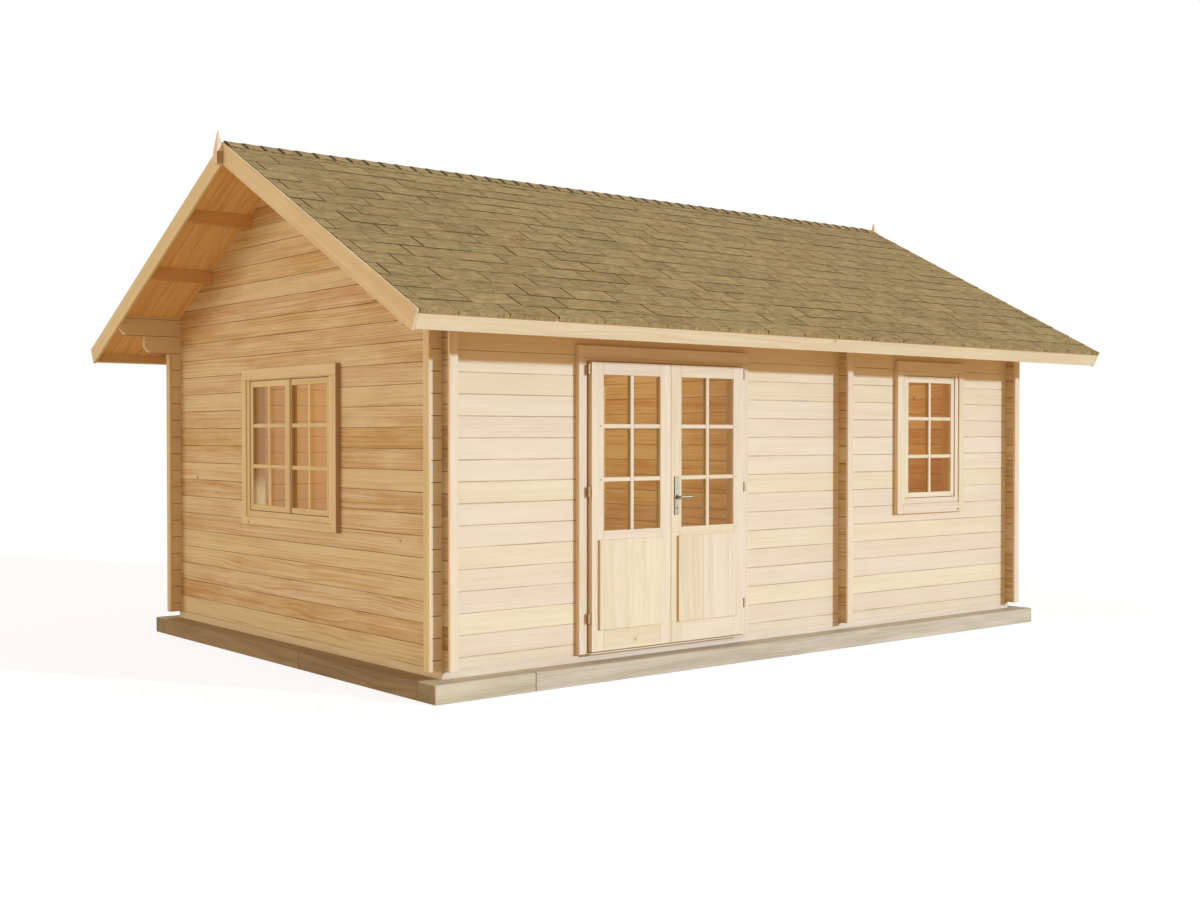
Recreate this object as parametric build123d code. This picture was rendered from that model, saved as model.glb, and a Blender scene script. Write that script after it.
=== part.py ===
"""Log-built summer house: interlocking wall logs, a gable roof and a glazed double door.

Millimetres, +Z up. X runs along the front wall to the right, Y runs from the front to the
back, and the origin is on the ground at the centre of the plan.
"""
from build123d import *
import os
from math import cos, radians, sin, tan

# ---------------------------------------------------------------- driving dimensions
WALL_LENGTH = 5800.0          # over the outer faces of the two gable walls
WALL_DEPTH = 3900.0           # over the outer faces of the front and back walls
WALL_THICK = 45.0
LOG = 135.0                   # height of one log course
COURSES = 17                  # full logs in the front and back walls, above a half log
SEAM = 4.0                    # arris taken off each log edge, which makes the V seams
STUB = 80.0                   # how far a crossing log runs past the wall it crosses

BASE_HEIGHT = 120.0
BASE_WIDTH = 200.0
BASE_LEDGE = 140.0            # base timbers beyond the wall faces
SILL_HEIGHT = 55.0
FLOOR_THICK = 20.0
BEARER_WIDTH = 45.0
BEARER_SPACING = 600.0

PITCH = 27.7                  # roof slope in degrees
EAVE = 487.0                  # wall face to the lower edge of the fascia
GABLE_OVERHANG = 520.0        # gable wall face to the outer face of the barge boards
FASCIA_DEPTH = 120.0          # up to the shingles
FASCIA_THICK = 20.0
BARGE_RANGE = (-7.0, 125.0)   # square to the slope, from the foot of the fascia
BARGE_THICK = 22.0
ROOF_BOARD = 48.0             # boards with the insulated battens on them
SHINGLE = 12.0
SHINGLE_LIP = 8.0             # shingles past the face of the fascia
SHINGLE_DRIP = 28.0           # their front edge, turned down over the fascia
CAP_WIDTH = 150.0
CAP_EDGE = 5.0
CAP_CROWN = 4.0
PURLIN_WIDTH = 45.0
PURLIN_DEPTH = 105.0
PURLIN_OFFSETS = (608.0, 1279.0)   # ridge line to the ridge-side face of each purlin
FINIAL_SIZE = (45.0, 58.0)

TRIM_WIDTH = 65.0             # boards nailed over the ends of the crossing logs
TRIM_THICK = 20.0
CASING_WIDTH = 66.0           # boards round the door and the windows
CASING_PROUD = 38.0
CASING_HEAD = 80.0
CASING_UNDER = 2117.0         # underside of the head boards on the front wall
LINING = 45.0                 # thickness of the linings of the openings
LINING_DEPTH = 90.0
LAP = 14.0                    # leaf or sash over its lining

PARTITION_LEFT = 3607.0       # left gable wall face to the left face of the partition
DOORWAY = (850.0, 1600.0)     # inner doorway in the partition, as Y from the centre

DOOR_CENTRE = 1813.0          # left gable wall face to the meeting line of the leaves
LEAF_HALF = 696.0             # meeting line to the hinge edge of a leaf
LEAF_GAP = 7.0
LEAF_THICK = 42.0
LEAF_FACE = 70.0              # leaf face, forward of the wall face
LEAF_BOTTOM = 190.0
LEAF_TOP = 2089.0
LEAF_GLASS = (980.0, 2006.0)
HINGE_STILE = 100.0
MEETING_STILE = 94.0
PANEL_MARGIN = 57.0
PANEL_RANGE = (331.0, 921.0)
PANEL_PROUD = 17.0
DOOR_RECESS = 16.0            # hinge edge of a leaf to the casing beside it
DOOR_FRAME_FACE = 22.0        # front of the frame, which the leaves close against
THRESHOLD_RANGE = (175.0, 184.0)
THRESHOLD_PROUD = 74.0
MUNTIN = 28.0
MUNTIN_THICK = 38.0
GLASS = 6.0
GLASS_REBATE = 8.0

SASH_FACE = 20.0              # sash face, forward of the wall face
SASH_THICK = 42.0
SASH_STILE = 40.0
SASH_MEETING_STILE = 48.0
SASH_GAP = 6.0                # between two sashes side by side
SASH_REVEAL = 4.0             # open joint between a sash and the frame round it
WINDOW_FRAME_FACE = 28.0
WINDOW_RECESS = 48.0          # sash to the casing beside it
COVER_STRIP = (-44.0, 14.0)   # strip over the meeting line of two sashes, as Y
COVER_PROUD = 14.0

HINGE_HEIGHTS = (411.0, 1240.0, 2038.0)
HINGE_OFFSET = 17.0           # leaf edge to the hinge pin
HINGE_DEPTH = 60.0            # hinge pin, forward of the wall face
KNUCKLE_RADIUS = 9.0
KNUCKLE_LENGTH = 33.0
PIN_RADIUS = 3.0
HANDLE_HEIGHT = 1187.0
HANDLE_OFFSET = 50.0          # meeting line to the handle spindle
PLATE_SIZE = (42.0, 8.0, 262.0)
PLATE_BELOW = 123.0           # spindle to the lower end of a handle plate
LEVER_LENGTH = 120.0
LEVER_RADIUS = 8.0
SPINDLE_RADIUS = 5.0
EASE = 3.0                    # arris taken off the exposed timber edges
JOINT = 0.6                   # open line where two boards of one frame meet

# ---------------------------------------------------------------- places worked out
LEFT = -WALL_LENGTH / 2
RIGHT = WALL_LENGTH / 2
FRONT = -WALL_DEPTH / 2
BACK = WALL_DEPTH / 2
LOG_BASE = BASE_HEIGHT + SILL_HEIGHT
WALL_TOP = LOG_BASE + LOG / 2 + COURSES * LOG
SLOPE = tan(radians(PITCH))
RUN = cos(radians(PITCH))
RISE = sin(radians(PITCH))
BOARD_UNDER = FASCIA_DEPTH - ROOF_BOARD
EAVE_Y = WALL_DEPTH / 2 + EAVE
EAVE_Z = WALL_TOP - EAVE * SLOPE - BOARD_UNDER / RUN
VERGE = WALL_LENGTH / 2 + GABLE_OVERHANG
ROOF_END = VERGE - BARGE_THICK
DOOR_X = LEFT + DOOR_CENTRE
OPENING_HALF = LEAF_HALF - LAP + LINING
PARTITION_X = LEFT + PARTITION_LEFT


def block(x0, x1, y0, y1, z0, z1):
    """A plain box between two corners."""
    centre = ((x0 + x1) / 2, (y0 + y1) / 2, (z0 + z1) / 2)
    return Pos(*centre) * Box(x1 - x0, y1 - y0, z1 - z0)


def timber(x0, x1, y0, y1, z0, z1, ease=EASE):
    """A box with its long edges eased."""
    solid = block(x0, x1, y0, y1, z0, z1)
    longest = max(x1 - x0, y1 - y0, z1 - z0)
    long_edges = [edge for edge in solid.edges() if edge.length > longest - 1]
    return chamfer(long_edges, ease)


def prism_x(outline, x0, x1):
    """A YZ outline drawn along X."""
    face = make_face(Polyline(*[(x0, y, z) for y, z in outline], close=True))
    return extrude(face, amount=x1 - x0, dir=(1, 0, 0))


def prism_y(outline, y0, y1):
    """An XZ outline drawn along Y."""
    face = make_face(Polyline(*[(x, y0, z) for x, z in outline], close=True))
    return extrude(face, amount=y1 - y0, dir=(0, 1, 0))


def save(name, *solids):
    """Write one sub-part, of one solid or of several that do not touch."""
    shape = solids[0] if len(solids) == 1 else Compound(children=list(solids))
    export_step(shape, f"parts/{name}.step")


# ---------------------------------------------------------------- roof geometry
def roof_point(along, out, side):
    """Y and Z at a distance up the slope from the eave and out from the fascia's foot."""
    y = -EAVE_Y + along * RUN - out * RISE
    z = EAVE_Z + along * RISE + out * RUN
    return (y * side, z)


def ridge_along(out):
    """Distance up the slope at which a line at this offset reaches the ridge."""
    return (EAVE_Y + out * RISE) / RUN


def slope_layer(low, high, side, start=0.0):
    """Outline of a layer of the roof slope, cut plumb at the ridge."""
    return [roof_point(start, low, side), roof_point(start, high, side),
            roof_point(ridge_along(high), high, side), roof_point(ridge_along(low), low, side)]


def underside(y):
    """Height of the underside of the roof boards."""
    return WALL_TOP + (WALL_DEPTH / 2 - abs(y)) * SLOPE


# ---------------------------------------------------------------- log walls
def seam_heights(first, bottom, top):
    """Heights of the seams between log courses, strictly inside the wall."""
    heights = []
    seam = first
    while seam < top - SEAM:
        if seam > bottom + SEAM:
            heights.append(seam)
        seam += LOG
    return heights


def log_outline(outer, inner, first_seam, bottom, top_outer, top_inner):
    """Cross-section of a wall: flat-faced logs with a V seam between courses."""
    inward = 1 if inner > outer else -1
    outline = [(outer, bottom)]
    for seam in seam_heights(first_seam, bottom, top_outer):
        outline += [(outer, seam - SEAM), (outer + inward * SEAM, seam), (outer, seam + SEAM)]
    outline += [(outer, top_outer), (inner, top_inner)]
    for seam in reversed(seam_heights(first_seam, bottom, top_inner)):
        outline += [(inner, seam + SEAM), (inner - inward * SEAM, seam), (inner, seam - SEAM)]
    outline.append((inner, bottom))
    return outline


LONG_WALL_SEAM = LOG_BASE + LOG / 2
CROSS_WALL_SEAM = LOG_BASE + LOG
QUARTER = LOG / 4


def long_wall_zones():
    """Height ranges in which a front or back log fills the crossing with another wall."""
    zones = [(LOG_BASE, LOG_BASE + QUARTER)]
    zones += [(LONG_WALL_SEAM + k * LOG + QUARTER, LONG_WALL_SEAM + (k + 1) * LOG - QUARTER)
              for k in range(COURSES)]
    return zones


def cross_wall_zones():
    """Height ranges in which a log of a crossing wall fills the crossing."""
    ranges = [(LOG_BASE + k * LOG + QUARTER, LOG_BASE + (k + 1) * LOG - QUARTER)
              for k in range(COURSES)]
    last = LONG_WALL_SEAM + COURSES * LOG - QUARTER
    return ranges + [(last, last + LOG)]


def halvings(zones, x0, y0):
    """The notches cut out of one wall where another wall's logs pass through it."""
    return [block(x0, x0 + WALL_THICK, y0, y0 + WALL_THICK, low, high) for low, high in zones]


def corbel_ends(y0, y1, x_sign):
    """The two top logs of a long wall, run out under the roof overhang and chamfered."""
    pieces = []
    for course, reach in ((COURSES - 2, 300.0), (COURSES - 1, GABLE_OVERHANG - BARGE_THICK)):
        bottom = LONG_WALL_SEAM + course * LOG
        top = bottom + LOG + WALL_THICK
        inner = WALL_LENGTH / 2
        outer = WALL_LENGTH / 2 + reach
        cut = 45.0
        outline = [(inner, bottom), (outer - cut, bottom), (outer, bottom + cut),
                   (outer, top if course == COURSES - 1 else bottom + LOG),
                   (inner, top if course == COURSES - 1 else bottom + LOG)]
        pieces.append(prism_y([(x * x_sign, z) for x, z in outline], y0, y1))
    return pieces


def under_roof(x0, x1):
    """The space below the roof boards, as a cutter for whatever meets them."""
    half = WALL_DEPTH / 2 + 2 * STUB
    outline = [(-half, 0.0), (-half, underside(half)), (0.0, underside(0.0)),
               (half, underside(half)), (half, 0.0)]
    return prism_x(outline, x0, x1)


def long_wall(side, x0, x1, bottom=LOG_BASE):
    """A front (side 1) or back (side -1) wall of logs between two X places."""
    outer = FRONT if side == 1 else BACK
    inner = outer + side * WALL_THICK
    top_inner = WALL_TOP + WALL_THICK * SLOPE
    outline = log_outline(outer, inner, LONG_WALL_SEAM, bottom, WALL_TOP, top_inner)
    y0, y1 = min(outer, inner), max(outer, inner)
    wall = prism_x(outline, max(x0, LEFT - STUB), min(x1, RIGHT + STUB))
    for reached, x_sign in ((x0 < LEFT, -1), (x1 > RIGHT, 1)):
        if reached:
            for corbel in corbel_ends(y0, y1, x_sign):
                wall += corbel
    wall &= under_roof(x0 - LOG, x1 + LOG)
    for crossing in (LEFT, PARTITION_X, RIGHT - WALL_THICK):
        if x0 < crossing and crossing + WALL_THICK < x1:
            for notch in halvings(cross_wall_zones(), crossing, y0):
                wall -= notch
    return wall


def cross_wall(x0, y0, y1, bottom=LOG_BASE, outer_is_left=True):
    """A gable or partition wall of logs between two Y places, up to the roof boards."""
    outer, inner = (x0, x0 + WALL_THICK) if outer_is_left else (x0 + WALL_THICK, x0)
    top = underside(0.0) + LOG
    outline = log_outline(outer, inner, CROSS_WALL_SEAM, bottom, top, top)
    wall = prism_y(outline, y0, y1)
    wall &= under_roof(x0 - LOG, x0 + LOG)
    for crossing in (FRONT, BACK - WALL_THICK):
        if y0 < crossing and crossing + WALL_THICK < y1:
            for notch in halvings(long_wall_zones(), x0, crossing):
                wall -= notch
    for purlin in purlin_solids():
        wall -= purlin
    return wall


# ---------------------------------------------------------------- purlins
def purlin(near, far):
    """One purlin between two Y faces, bevelled on top to the slope, with chamfered ends."""
    bottom = underside(min(abs(near), abs(far))) - PURLIN_DEPTH
    if near * far < 0:
        bottom = underside(0.0) - PURLIN_DEPTH
        outline = [(near, bottom), (near, underside(near)), (0.0, underside(0.0)),
                   (far, underside(far)), (far, bottom)]
    else:
        outline = [(near, bottom), (near, underside(near)), (far, underside(far)), (far, bottom)]
    solid = prism_x(outline, -ROOF_END, ROOF_END)
    cut = 35.0
    for x_sign in (-1, 1):
        corner = [(x_sign * (ROOF_END - cut), bottom), (x_sign * ROOF_END, bottom),
                  (x_sign * ROOF_END, bottom + cut)]
        solid -= prism_y(corner, min(near, far) - 1, max(near, far) + 1)
    return solid


def purlin_pair(side):
    """The two purlins of one slope: side 1 is the front."""
    return [purlin(-side * offset, -side * (offset + PURLIN_WIDTH)) for offset in PURLIN_OFFSETS]


def ridge_purlin():
    return purlin(-PURLIN_WIDTH / 2, PURLIN_WIDTH / 2)


def purlin_solids():
    return [ridge_purlin()] + purlin_pair(1) + purlin_pair(-1)


# ---------------------------------------------------------------- linings, casings, sashes
def on_wall(wall, u0, u1, v0, v1, z0, z1):
    """A box given along a wall (u), outward from its face (v) and in height."""
    if wall == "front":
        return block(u0, u1, FRONT - v1, FRONT - v0, z0, z1)
    return block(LEFT - v1, LEFT - v0, u0, u1, z0, z1)


def boards_round(wall, half, centre, v0, v1, z0, z1, widths):
    """The boards round an opening; widths are those of the sides, the head and the foot."""
    sides, head, foot = widths
    left, right = centre - half, centre + half
    boards = [on_wall(wall, left, left + sides, v0, v1, z0, z1 - head - JOINT),
              on_wall(wall, right - sides, right, v0, v1, z0, z1 - head - JOINT),
              on_wall(wall, left, right, v0, v1, z1 - head, z1)]
    if foot:
        boards.append(on_wall(wall, left + sides + JOINT, right - sides - JOINT, v0, v1,
                              z0, z0 + foot))
    return boards


def lining(wall, centre, half, z0, z1, rebate):
    """Boards that line a hole, rebated round the edge for the sash they hold."""
    outer_half = half - LAP + LINING
    low, high = z0 + LAP - LINING, z1 - LAP + LINING
    seat = on_wall(wall, centre - half - SASH_REVEAL, centre + half + SASH_REVEAL,
                   -rebate, 1.0, z0 - SASH_REVEAL, z1 + SASH_REVEAL)
    boards = boards_round(wall, outer_half, centre, -LINING_DEPTH, 0.0, low, high,
                          (LINING, LINING, LINING))
    return [board - seat for board in boards]


def glazed_frame(wall, u0, u1, face, thick, z0, z1, glass, stiles, rows=3):
    """A glazed leaf or sash and its glass: bars two panes wide and three high."""
    g0, g1 = u0 + stiles[0], u1 - stiles[1]
    back = face - thick
    middle = face - thick / 2
    frame = on_wall(wall, u0, u1, back, face, z0, z1)
    frame -= on_wall(wall, g0, g1, back - 1, face + 1, glass[0], glass[1])
    bar_back, bar_face = middle - MUNTIN_THICK / 2, middle + MUNTIN_THICK / 2
    mid = (g0 + g1) / 2
    frame += on_wall(wall, mid - MUNTIN / 2, mid + MUNTIN / 2, bar_back, bar_face, *glass)
    pane = (glass[1] - glass[0] - (rows - 1) * MUNTIN) / rows
    for row in range(1, rows):
        low = glass[0] + row * pane + (row - 1) * MUNTIN
        frame += on_wall(wall, g0, g1, bar_back, bar_face, low, low + MUNTIN)
    sheet = on_wall(wall, g0 - GLASS_REBATE, g1 + GLASS_REBATE, middle - GLASS / 2,
                    middle + GLASS / 2, glass[0] - GLASS_REBATE, glass[1] + GLASS_REBATE)
    return frame - sheet, sheet


WINDOWS = {
    "front": dict(wall="front", centre=LEFT + 4692.0, sashes=1, sash_width=628.0,
                  sash=(1107.0, 2080.0), glass=(1147.0, 2030.0), foot=79.0,
                  head_gap=CASING_UNDER - 2080.0),
    "gable": dict(wall="left", centre=0.0, sashes=2, sash_width=594.0,
                  sash=(1055.0, 2005.0), glass=(1095.0, 1962.0), foot=58.0,
                  head_gap=10.0),
}


def window_half(spec):
    """Half the width over the sashes of a window."""
    count = spec["sashes"]
    return (count * spec["sash_width"] + (count - 1) * SASH_GAP) / 2


def window_opening(spec):
    """The hole that a window's lining fills in its wall."""
    half = window_half(spec) - LAP + LINING
    low, high = spec["sash"][0] + LAP - LINING, spec["sash"][1] - LAP + LINING
    return on_wall(spec["wall"], spec["centre"] - half, spec["centre"] + half,
                   -2 * WALL_THICK, WALL_THICK, low, high)


def window_casing(spec):
    """The boards round a window, on the face of the wall."""
    half = window_half(spec) + WINDOW_RECESS + CASING_WIDTH
    low = spec["sash"][0] - WINDOW_RECESS - spec["foot"]
    high = spec["sash"][1] + spec["head_gap"] + CASING_HEAD
    return boards_round(spec["wall"], half, spec["centre"], 0.0, CASING_PROUD, low, high,
                        (CASING_WIDTH, CASING_HEAD, spec["foot"]))


def window_frame_face(spec):
    """The frame boards that show between a casing and the sashes inside it."""
    half = window_half(spec) + WINDOW_RECESS - JOINT
    low = spec["sash"][0] - WINDOW_RECESS + JOINT
    high = spec["sash"][1] + spec["head_gap"] - JOINT
    width = WINDOW_RECESS - SASH_REVEAL - JOINT
    head = spec["head_gap"] - SASH_REVEAL - JOINT
    return boards_round(spec["wall"], half, spec["centre"], 0.0, WINDOW_FRAME_FACE, low, high,
                        (width, head, width))


def window_sashes(spec):
    """The sashes of a window, a strip over the line where two meet, and their glass."""
    frames, panes = [], []
    start = spec["centre"] - window_half(spec)
    last = spec["sashes"] - 1
    for index in range(spec["sashes"]):
        u0 = start + index * (spec["sash_width"] + SASH_GAP)
        stiles = (SASH_MEETING_STILE if index > 0 else SASH_STILE,
                  SASH_MEETING_STILE if index < last else SASH_STILE)
        frame, sheet = glazed_frame(spec["wall"], u0, u0 + spec["sash_width"], SASH_FACE,
                                    SASH_THICK, *spec["sash"], spec["glass"], stiles)
        frames.append(frame)
        panes.append(sheet)
    if last > 0:
        frames.append(on_wall(spec["wall"], *COVER_STRIP, SASH_FACE, SASH_FACE + COVER_PROUD,
                              *spec["sash"]))
    return frames, panes


# ---------------------------------------------------------------- double door
def door_leaf(side):
    """One leaf of the double door; side is -1 for the left leaf and 1 for the right."""
    near = DOOR_X + side * LEAF_GAP / 2
    far = DOOR_X + side * LEAF_HALF
    u0, u1 = min(near, far), max(near, far)
    stiles = (HINGE_STILE, MEETING_STILE) if side < 0 else (MEETING_STILE, HINGE_STILE)
    leaf, sheet = glazed_frame("front", u0, u1, LEAF_FACE, LEAF_THICK, LEAF_BOTTOM, LEAF_TOP,
                               LEAF_GLASS, stiles)
    panel = on_wall("front", u0 + PANEL_MARGIN, u1 - PANEL_MARGIN, LEAF_FACE,
                    LEAF_FACE + PANEL_PROUD, *PANEL_RANGE)
    return leaf + panel, sheet


def rod_out(x, z, radius, v0, v1):
    """A round bar square to the front wall."""
    centre = (x, FRONT - (v0 + v1) / 2, z)
    return Pos(*centre) * Rot(90, 0, 0) * Cylinder(radius, v1 - v0)


def rod_up(x, y, radius, z0, z1):
    """An upright round bar."""
    return Pos(x, y, (z0 + z1) / 2) * Cylinder(radius, z1 - z0)


def hinge_line(side):
    """X and Y of the hinge pins of a leaf."""
    return DOOR_X + side * (LEAF_HALF + HINGE_OFFSET), FRONT - HINGE_DEPTH


def hinge_on_frame(side, height):
    """Lower knuckle, its pin, and the arm back to the casing."""
    x, y = hinge_line(side)
    knuckle = rod_up(x, y, KNUCKLE_RADIUS, height - KNUCKLE_LENGTH, height - 0.5)
    pin = rod_up(x, y, PIN_RADIUS, height - 1, height + KNUCKLE_LENGTH - 6)
    arm = block(x - 4, x + 4, y, FRONT - CASING_PROUD, height - KNUCKLE_LENGTH + 2, height - 3)
    return knuckle + pin + arm


def hinge_on_leaf(side, height):
    """Upper knuckle, bored for the pin, and the strap to the edge of the leaf."""
    x, y = hinge_line(side)
    knuckle = rod_up(x, y, KNUCKLE_RADIUS, height + 0.5, height + KNUCKLE_LENGTH)
    edge = x - side * HINGE_OFFSET
    strap = block(min(edge, x), max(edge, x), y, y + 5, height + 3, height + KNUCKLE_LENGTH - 3)
    bore = rod_up(x, y, PIN_RADIUS + 0.4, height - 1, height + KNUCKLE_LENGTH - 5)
    return knuckle + strap - bore


HANDLE_X = DOOR_X + HANDLE_OFFSET
PLATE_OUT = LEAF_FACE + PLATE_SIZE[1]
PLATE_IN = LEAF_FACE - LEAF_THICK - PLATE_SIZE[1]
NECK = 42.0


def handle_plates():
    """The long plates on both faces of the right leaf, bored for the spindle."""
    low = HANDLE_HEIGHT - PLATE_BELOW
    plates = []
    for v0, v1 in ((LEAF_FACE, PLATE_OUT), (PLATE_IN, LEAF_FACE - LEAF_THICK)):
        plate = on_wall("front", HANDLE_X - PLATE_SIZE[0] / 2, HANDLE_X + PLATE_SIZE[0] / 2,
                        v0, v1, low, low + PLATE_SIZE[2])
        plates.append(plate - rod_out(HANDLE_X, HANDLE_HEIGHT, SPINDLE_RADIUS + 1, v0 - 1, v1 + 1))
    return plates


def lever_handle():
    """The spindle through the leaf with a lever on each side."""
    spindle = rod_out(HANDLE_X, HANDLE_HEIGHT, SPINDLE_RADIUS, PLATE_IN - 5, PLATE_OUT + 5)
    solid = spindle
    for v0, v1, grip in ((PLATE_OUT + 1, PLATE_OUT + NECK, PLATE_OUT + NECK - LEVER_RADIUS),
                         (PLATE_IN - NECK, PLATE_IN - 1, PLATE_IN - NECK + LEVER_RADIUS)):
        solid += rod_out(HANDLE_X, HANDLE_HEIGHT, LEVER_RADIUS, v0, v1)
        centre = (HANDLE_X + LEVER_LENGTH / 2, FRONT - grip, HANDLE_HEIGHT)
        solid += Pos(*centre) * Rot(0, 90, 0) * Cylinder(LEVER_RADIUS, LEVER_LENGTH)
    return solid


# ---------------------------------------------------------------- base and floor
def base_run(x0, x1, y0, y1, joint, along):
    """A base timber in two lengths, with a narrow open butt joint."""
    gap = 1.5
    if along == "x":
        return [timber(x0, joint - gap, y0, y1, 0, BASE_HEIGHT),
                timber(joint + gap, x1, y0, y1, 0, BASE_HEIGHT)]
    return [timber(x0, x1, y0, joint - gap, 0, BASE_HEIGHT),
            timber(x0, x1, joint + gap, y1, 0, BASE_HEIGHT)]


def build_base():
    edge_x = RIGHT + BASE_LEDGE
    edge_y = BACK + BASE_LEDGE
    inner_x = edge_x - BASE_WIDTH
    inner_y = edge_y - BASE_WIDTH
    joint_x = 2290.0
    joint_y = 370.0
    save("base_front", *base_run(-edge_x, edge_x, -edge_y, -inner_y, -joint_x, "x"))
    save("base_back", *base_run(-edge_x, edge_x, inner_y, edge_y, joint_x, "x"))
    save("base_ends", *base_run(-edge_x, -inner_x, -inner_y, inner_y, -joint_y, "y"),
         *base_run(inner_x, edge_x, -inner_y, inner_y, joint_y, "y"))
    under_partition = PARTITION_X + WALL_THICK / 2
    spots = [under_partition + k * BEARER_SPACING for k in range(-5, 4)]
    save("floor_bearers", *[block(x - BEARER_WIDTH / 2, x + BEARER_WIDTH / 2, -inner_y, inner_y,
                                  0, LOG_BASE - FLOOR_THICK) for x in spots])
    save("floor", block(LEFT + WALL_THICK, RIGHT - WALL_THICK, FRONT + WALL_THICK,
                        BACK - WALL_THICK, LOG_BASE - FLOOR_THICK, LOG_BASE))


def build_sills():
    gap = 1.0
    across = (LEFT, LEFT + WALL_THICK), (RIGHT - WALL_THICK, RIGHT)
    along = (FRONT, FRONT + WALL_THICK), (BACK - WALL_THICK, BACK)
    bars = [block(LEFT, RIGHT, y0, y1, BASE_HEIGHT, LOG_BASE) for y0, y1 in along]
    bars += [block(x0, x1, FRONT + WALL_THICK + gap, BACK - WALL_THICK - gap,
                   BASE_HEIGHT, LOG_BASE) for x0, x1 in across]
    save("sill_boards", *bars)


# ---------------------------------------------------------------- walls
def build_walls():
    reach = ROOF_END
    door_left, door_right = DOOR_X - OPENING_HALF, DOOR_X + OPENING_HALF
    head = LEAF_TOP - LAP + LINING
    save("front_wall_left", long_wall(1, -reach, door_left))
    save("front_wall_over_door", long_wall(1, door_left, door_right, bottom=head))
    save("front_wall_right",
         long_wall(1, door_right, reach) - window_opening(WINDOWS["front"]))
    save("back_wall", long_wall(-1, -reach, reach))
    end = BACK + STUB
    save("left_gable_wall", cross_wall(LEFT, -end, end) - window_opening(WINDOWS["gable"]))
    save("right_gable_wall", cross_wall(RIGHT - WALL_THICK, -end, end, outer_is_left=False))
    low, high = DOORWAY
    doorway_top = LOG_BASE + 14 * LOG
    save("partition_wall_front", cross_wall(PARTITION_X, -end, low))
    save("partition_wall_back", cross_wall(PARTITION_X, high, end))
    save("partition_wall_over_doorway", cross_wall(PARTITION_X, low, high, bottom=doorway_top))


def build_corner_trims():
    """Boards over the ends of the crossing logs, at the corners and at the partition."""
    boards = []
    half = TRIM_WIDTH / 2
    corbel_foot = LONG_WALL_SEAM + (COURSES - 2) * LOG
    soffit = underside(BACK + STUB + TRIM_THICK)
    for side in (-1, 1):
        stub = side * (BACK + STUB)
        board_y = sorted((stub, stub + side * TRIM_THICK))
        for centre in (LEFT + WALL_THICK / 2, PARTITION_X + WALL_THICK / 2,
                       RIGHT - WALL_THICK / 2):
            boards.append(timber(centre - half, centre + half, *board_y, LOG_BASE, soffit, 2))
        stub_x = side * (RIGHT + STUB)
        board_x = sorted((stub_x, stub_x + side * TRIM_THICK))
        for centre in (FRONT + WALL_THICK / 2, BACK - WALL_THICK / 2):
            boards.append(timber(*board_x, centre - half, centre + half, LOG_BASE,
                                 corbel_foot, 2))
    save("corner_trims", *boards)


# ---------------------------------------------------------------- openings
def build_door():
    foot = LEAF_BOTTOM + LAP - LOG_BASE
    clear_half = LEAF_HALF + DOOR_RECESS
    frame_half = clear_half - JOINT
    frame = boards_round("front", OPENING_HALF, DOOR_X, -LINING_DEPTH, 0.0, LOG_BASE,
                         LEAF_TOP - LAP + LINING, (LINING, LINING, foot))
    frame += boards_round("front", frame_half, DOOR_X, 0.0, DOOR_FRAME_FACE,
                          THRESHOLD_RANGE[1], CASING_UNDER - JOINT,
                          (frame_half - LEAF_HALF + LAP, CASING_UNDER - JOINT - LEAF_TOP + LAP,
                           LEAF_BOTTOM + LAP - THRESHOLD_RANGE[1]))
    save("door_frame", *frame)
    save("door_casing", *boards_round("front", clear_half + CASING_WIDTH, DOOR_X, 0.0,
                                      CASING_PROUD, LOG_BASE, CASING_UNDER + CASING_HEAD,
                                      (CASING_WIDTH, CASING_HEAD, 0.0)))
    save("threshold", on_wall("front", DOOR_X - frame_half, DOOR_X + frame_half, 0.0,
                              THRESHOLD_PROUD, *THRESHOLD_RANGE))
    for side, name in ((-1, "left"), (1, "right")):
        leaf, sheet = door_leaf(side)
        if side > 0:
            leaf -= rod_out(HANDLE_X, HANDLE_HEIGHT, SPINDLE_RADIUS + 4, 0.0, LEAF_FACE + 1)
        save(f"{name}_door_leaf", leaf)
        save(f"{name}_door_glass", sheet)
        save(f"{name}_leaf_hinges", *[hinge_on_leaf(side, z) for z in HINGE_HEIGHTS])
    save("frame_hinges", *[hinge_on_frame(side, z) for side in (-1, 1) for z in HINGE_HEIGHTS])
    save("handle_plates", *handle_plates())
    save("lever_handle", lever_handle())


def build_windows():
    glass = []
    casings = []
    for name, spec in WINDOWS.items():
        save(f"{name}_window_frame", *lining(spec["wall"], spec["centre"], window_half(spec),
                                            *spec["sash"], SASH_THICK - SASH_FACE),
             *window_frame_face(spec))
        frames, panes = window_sashes(spec)
        save(f"{name}_window_sash" + ("es" if len(frames) > 1 else ""), *frames)
        glass += panes
        casings += window_casing(spec)
    save("window_glass", *glass)
    save("window_casings", *casings)


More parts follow.
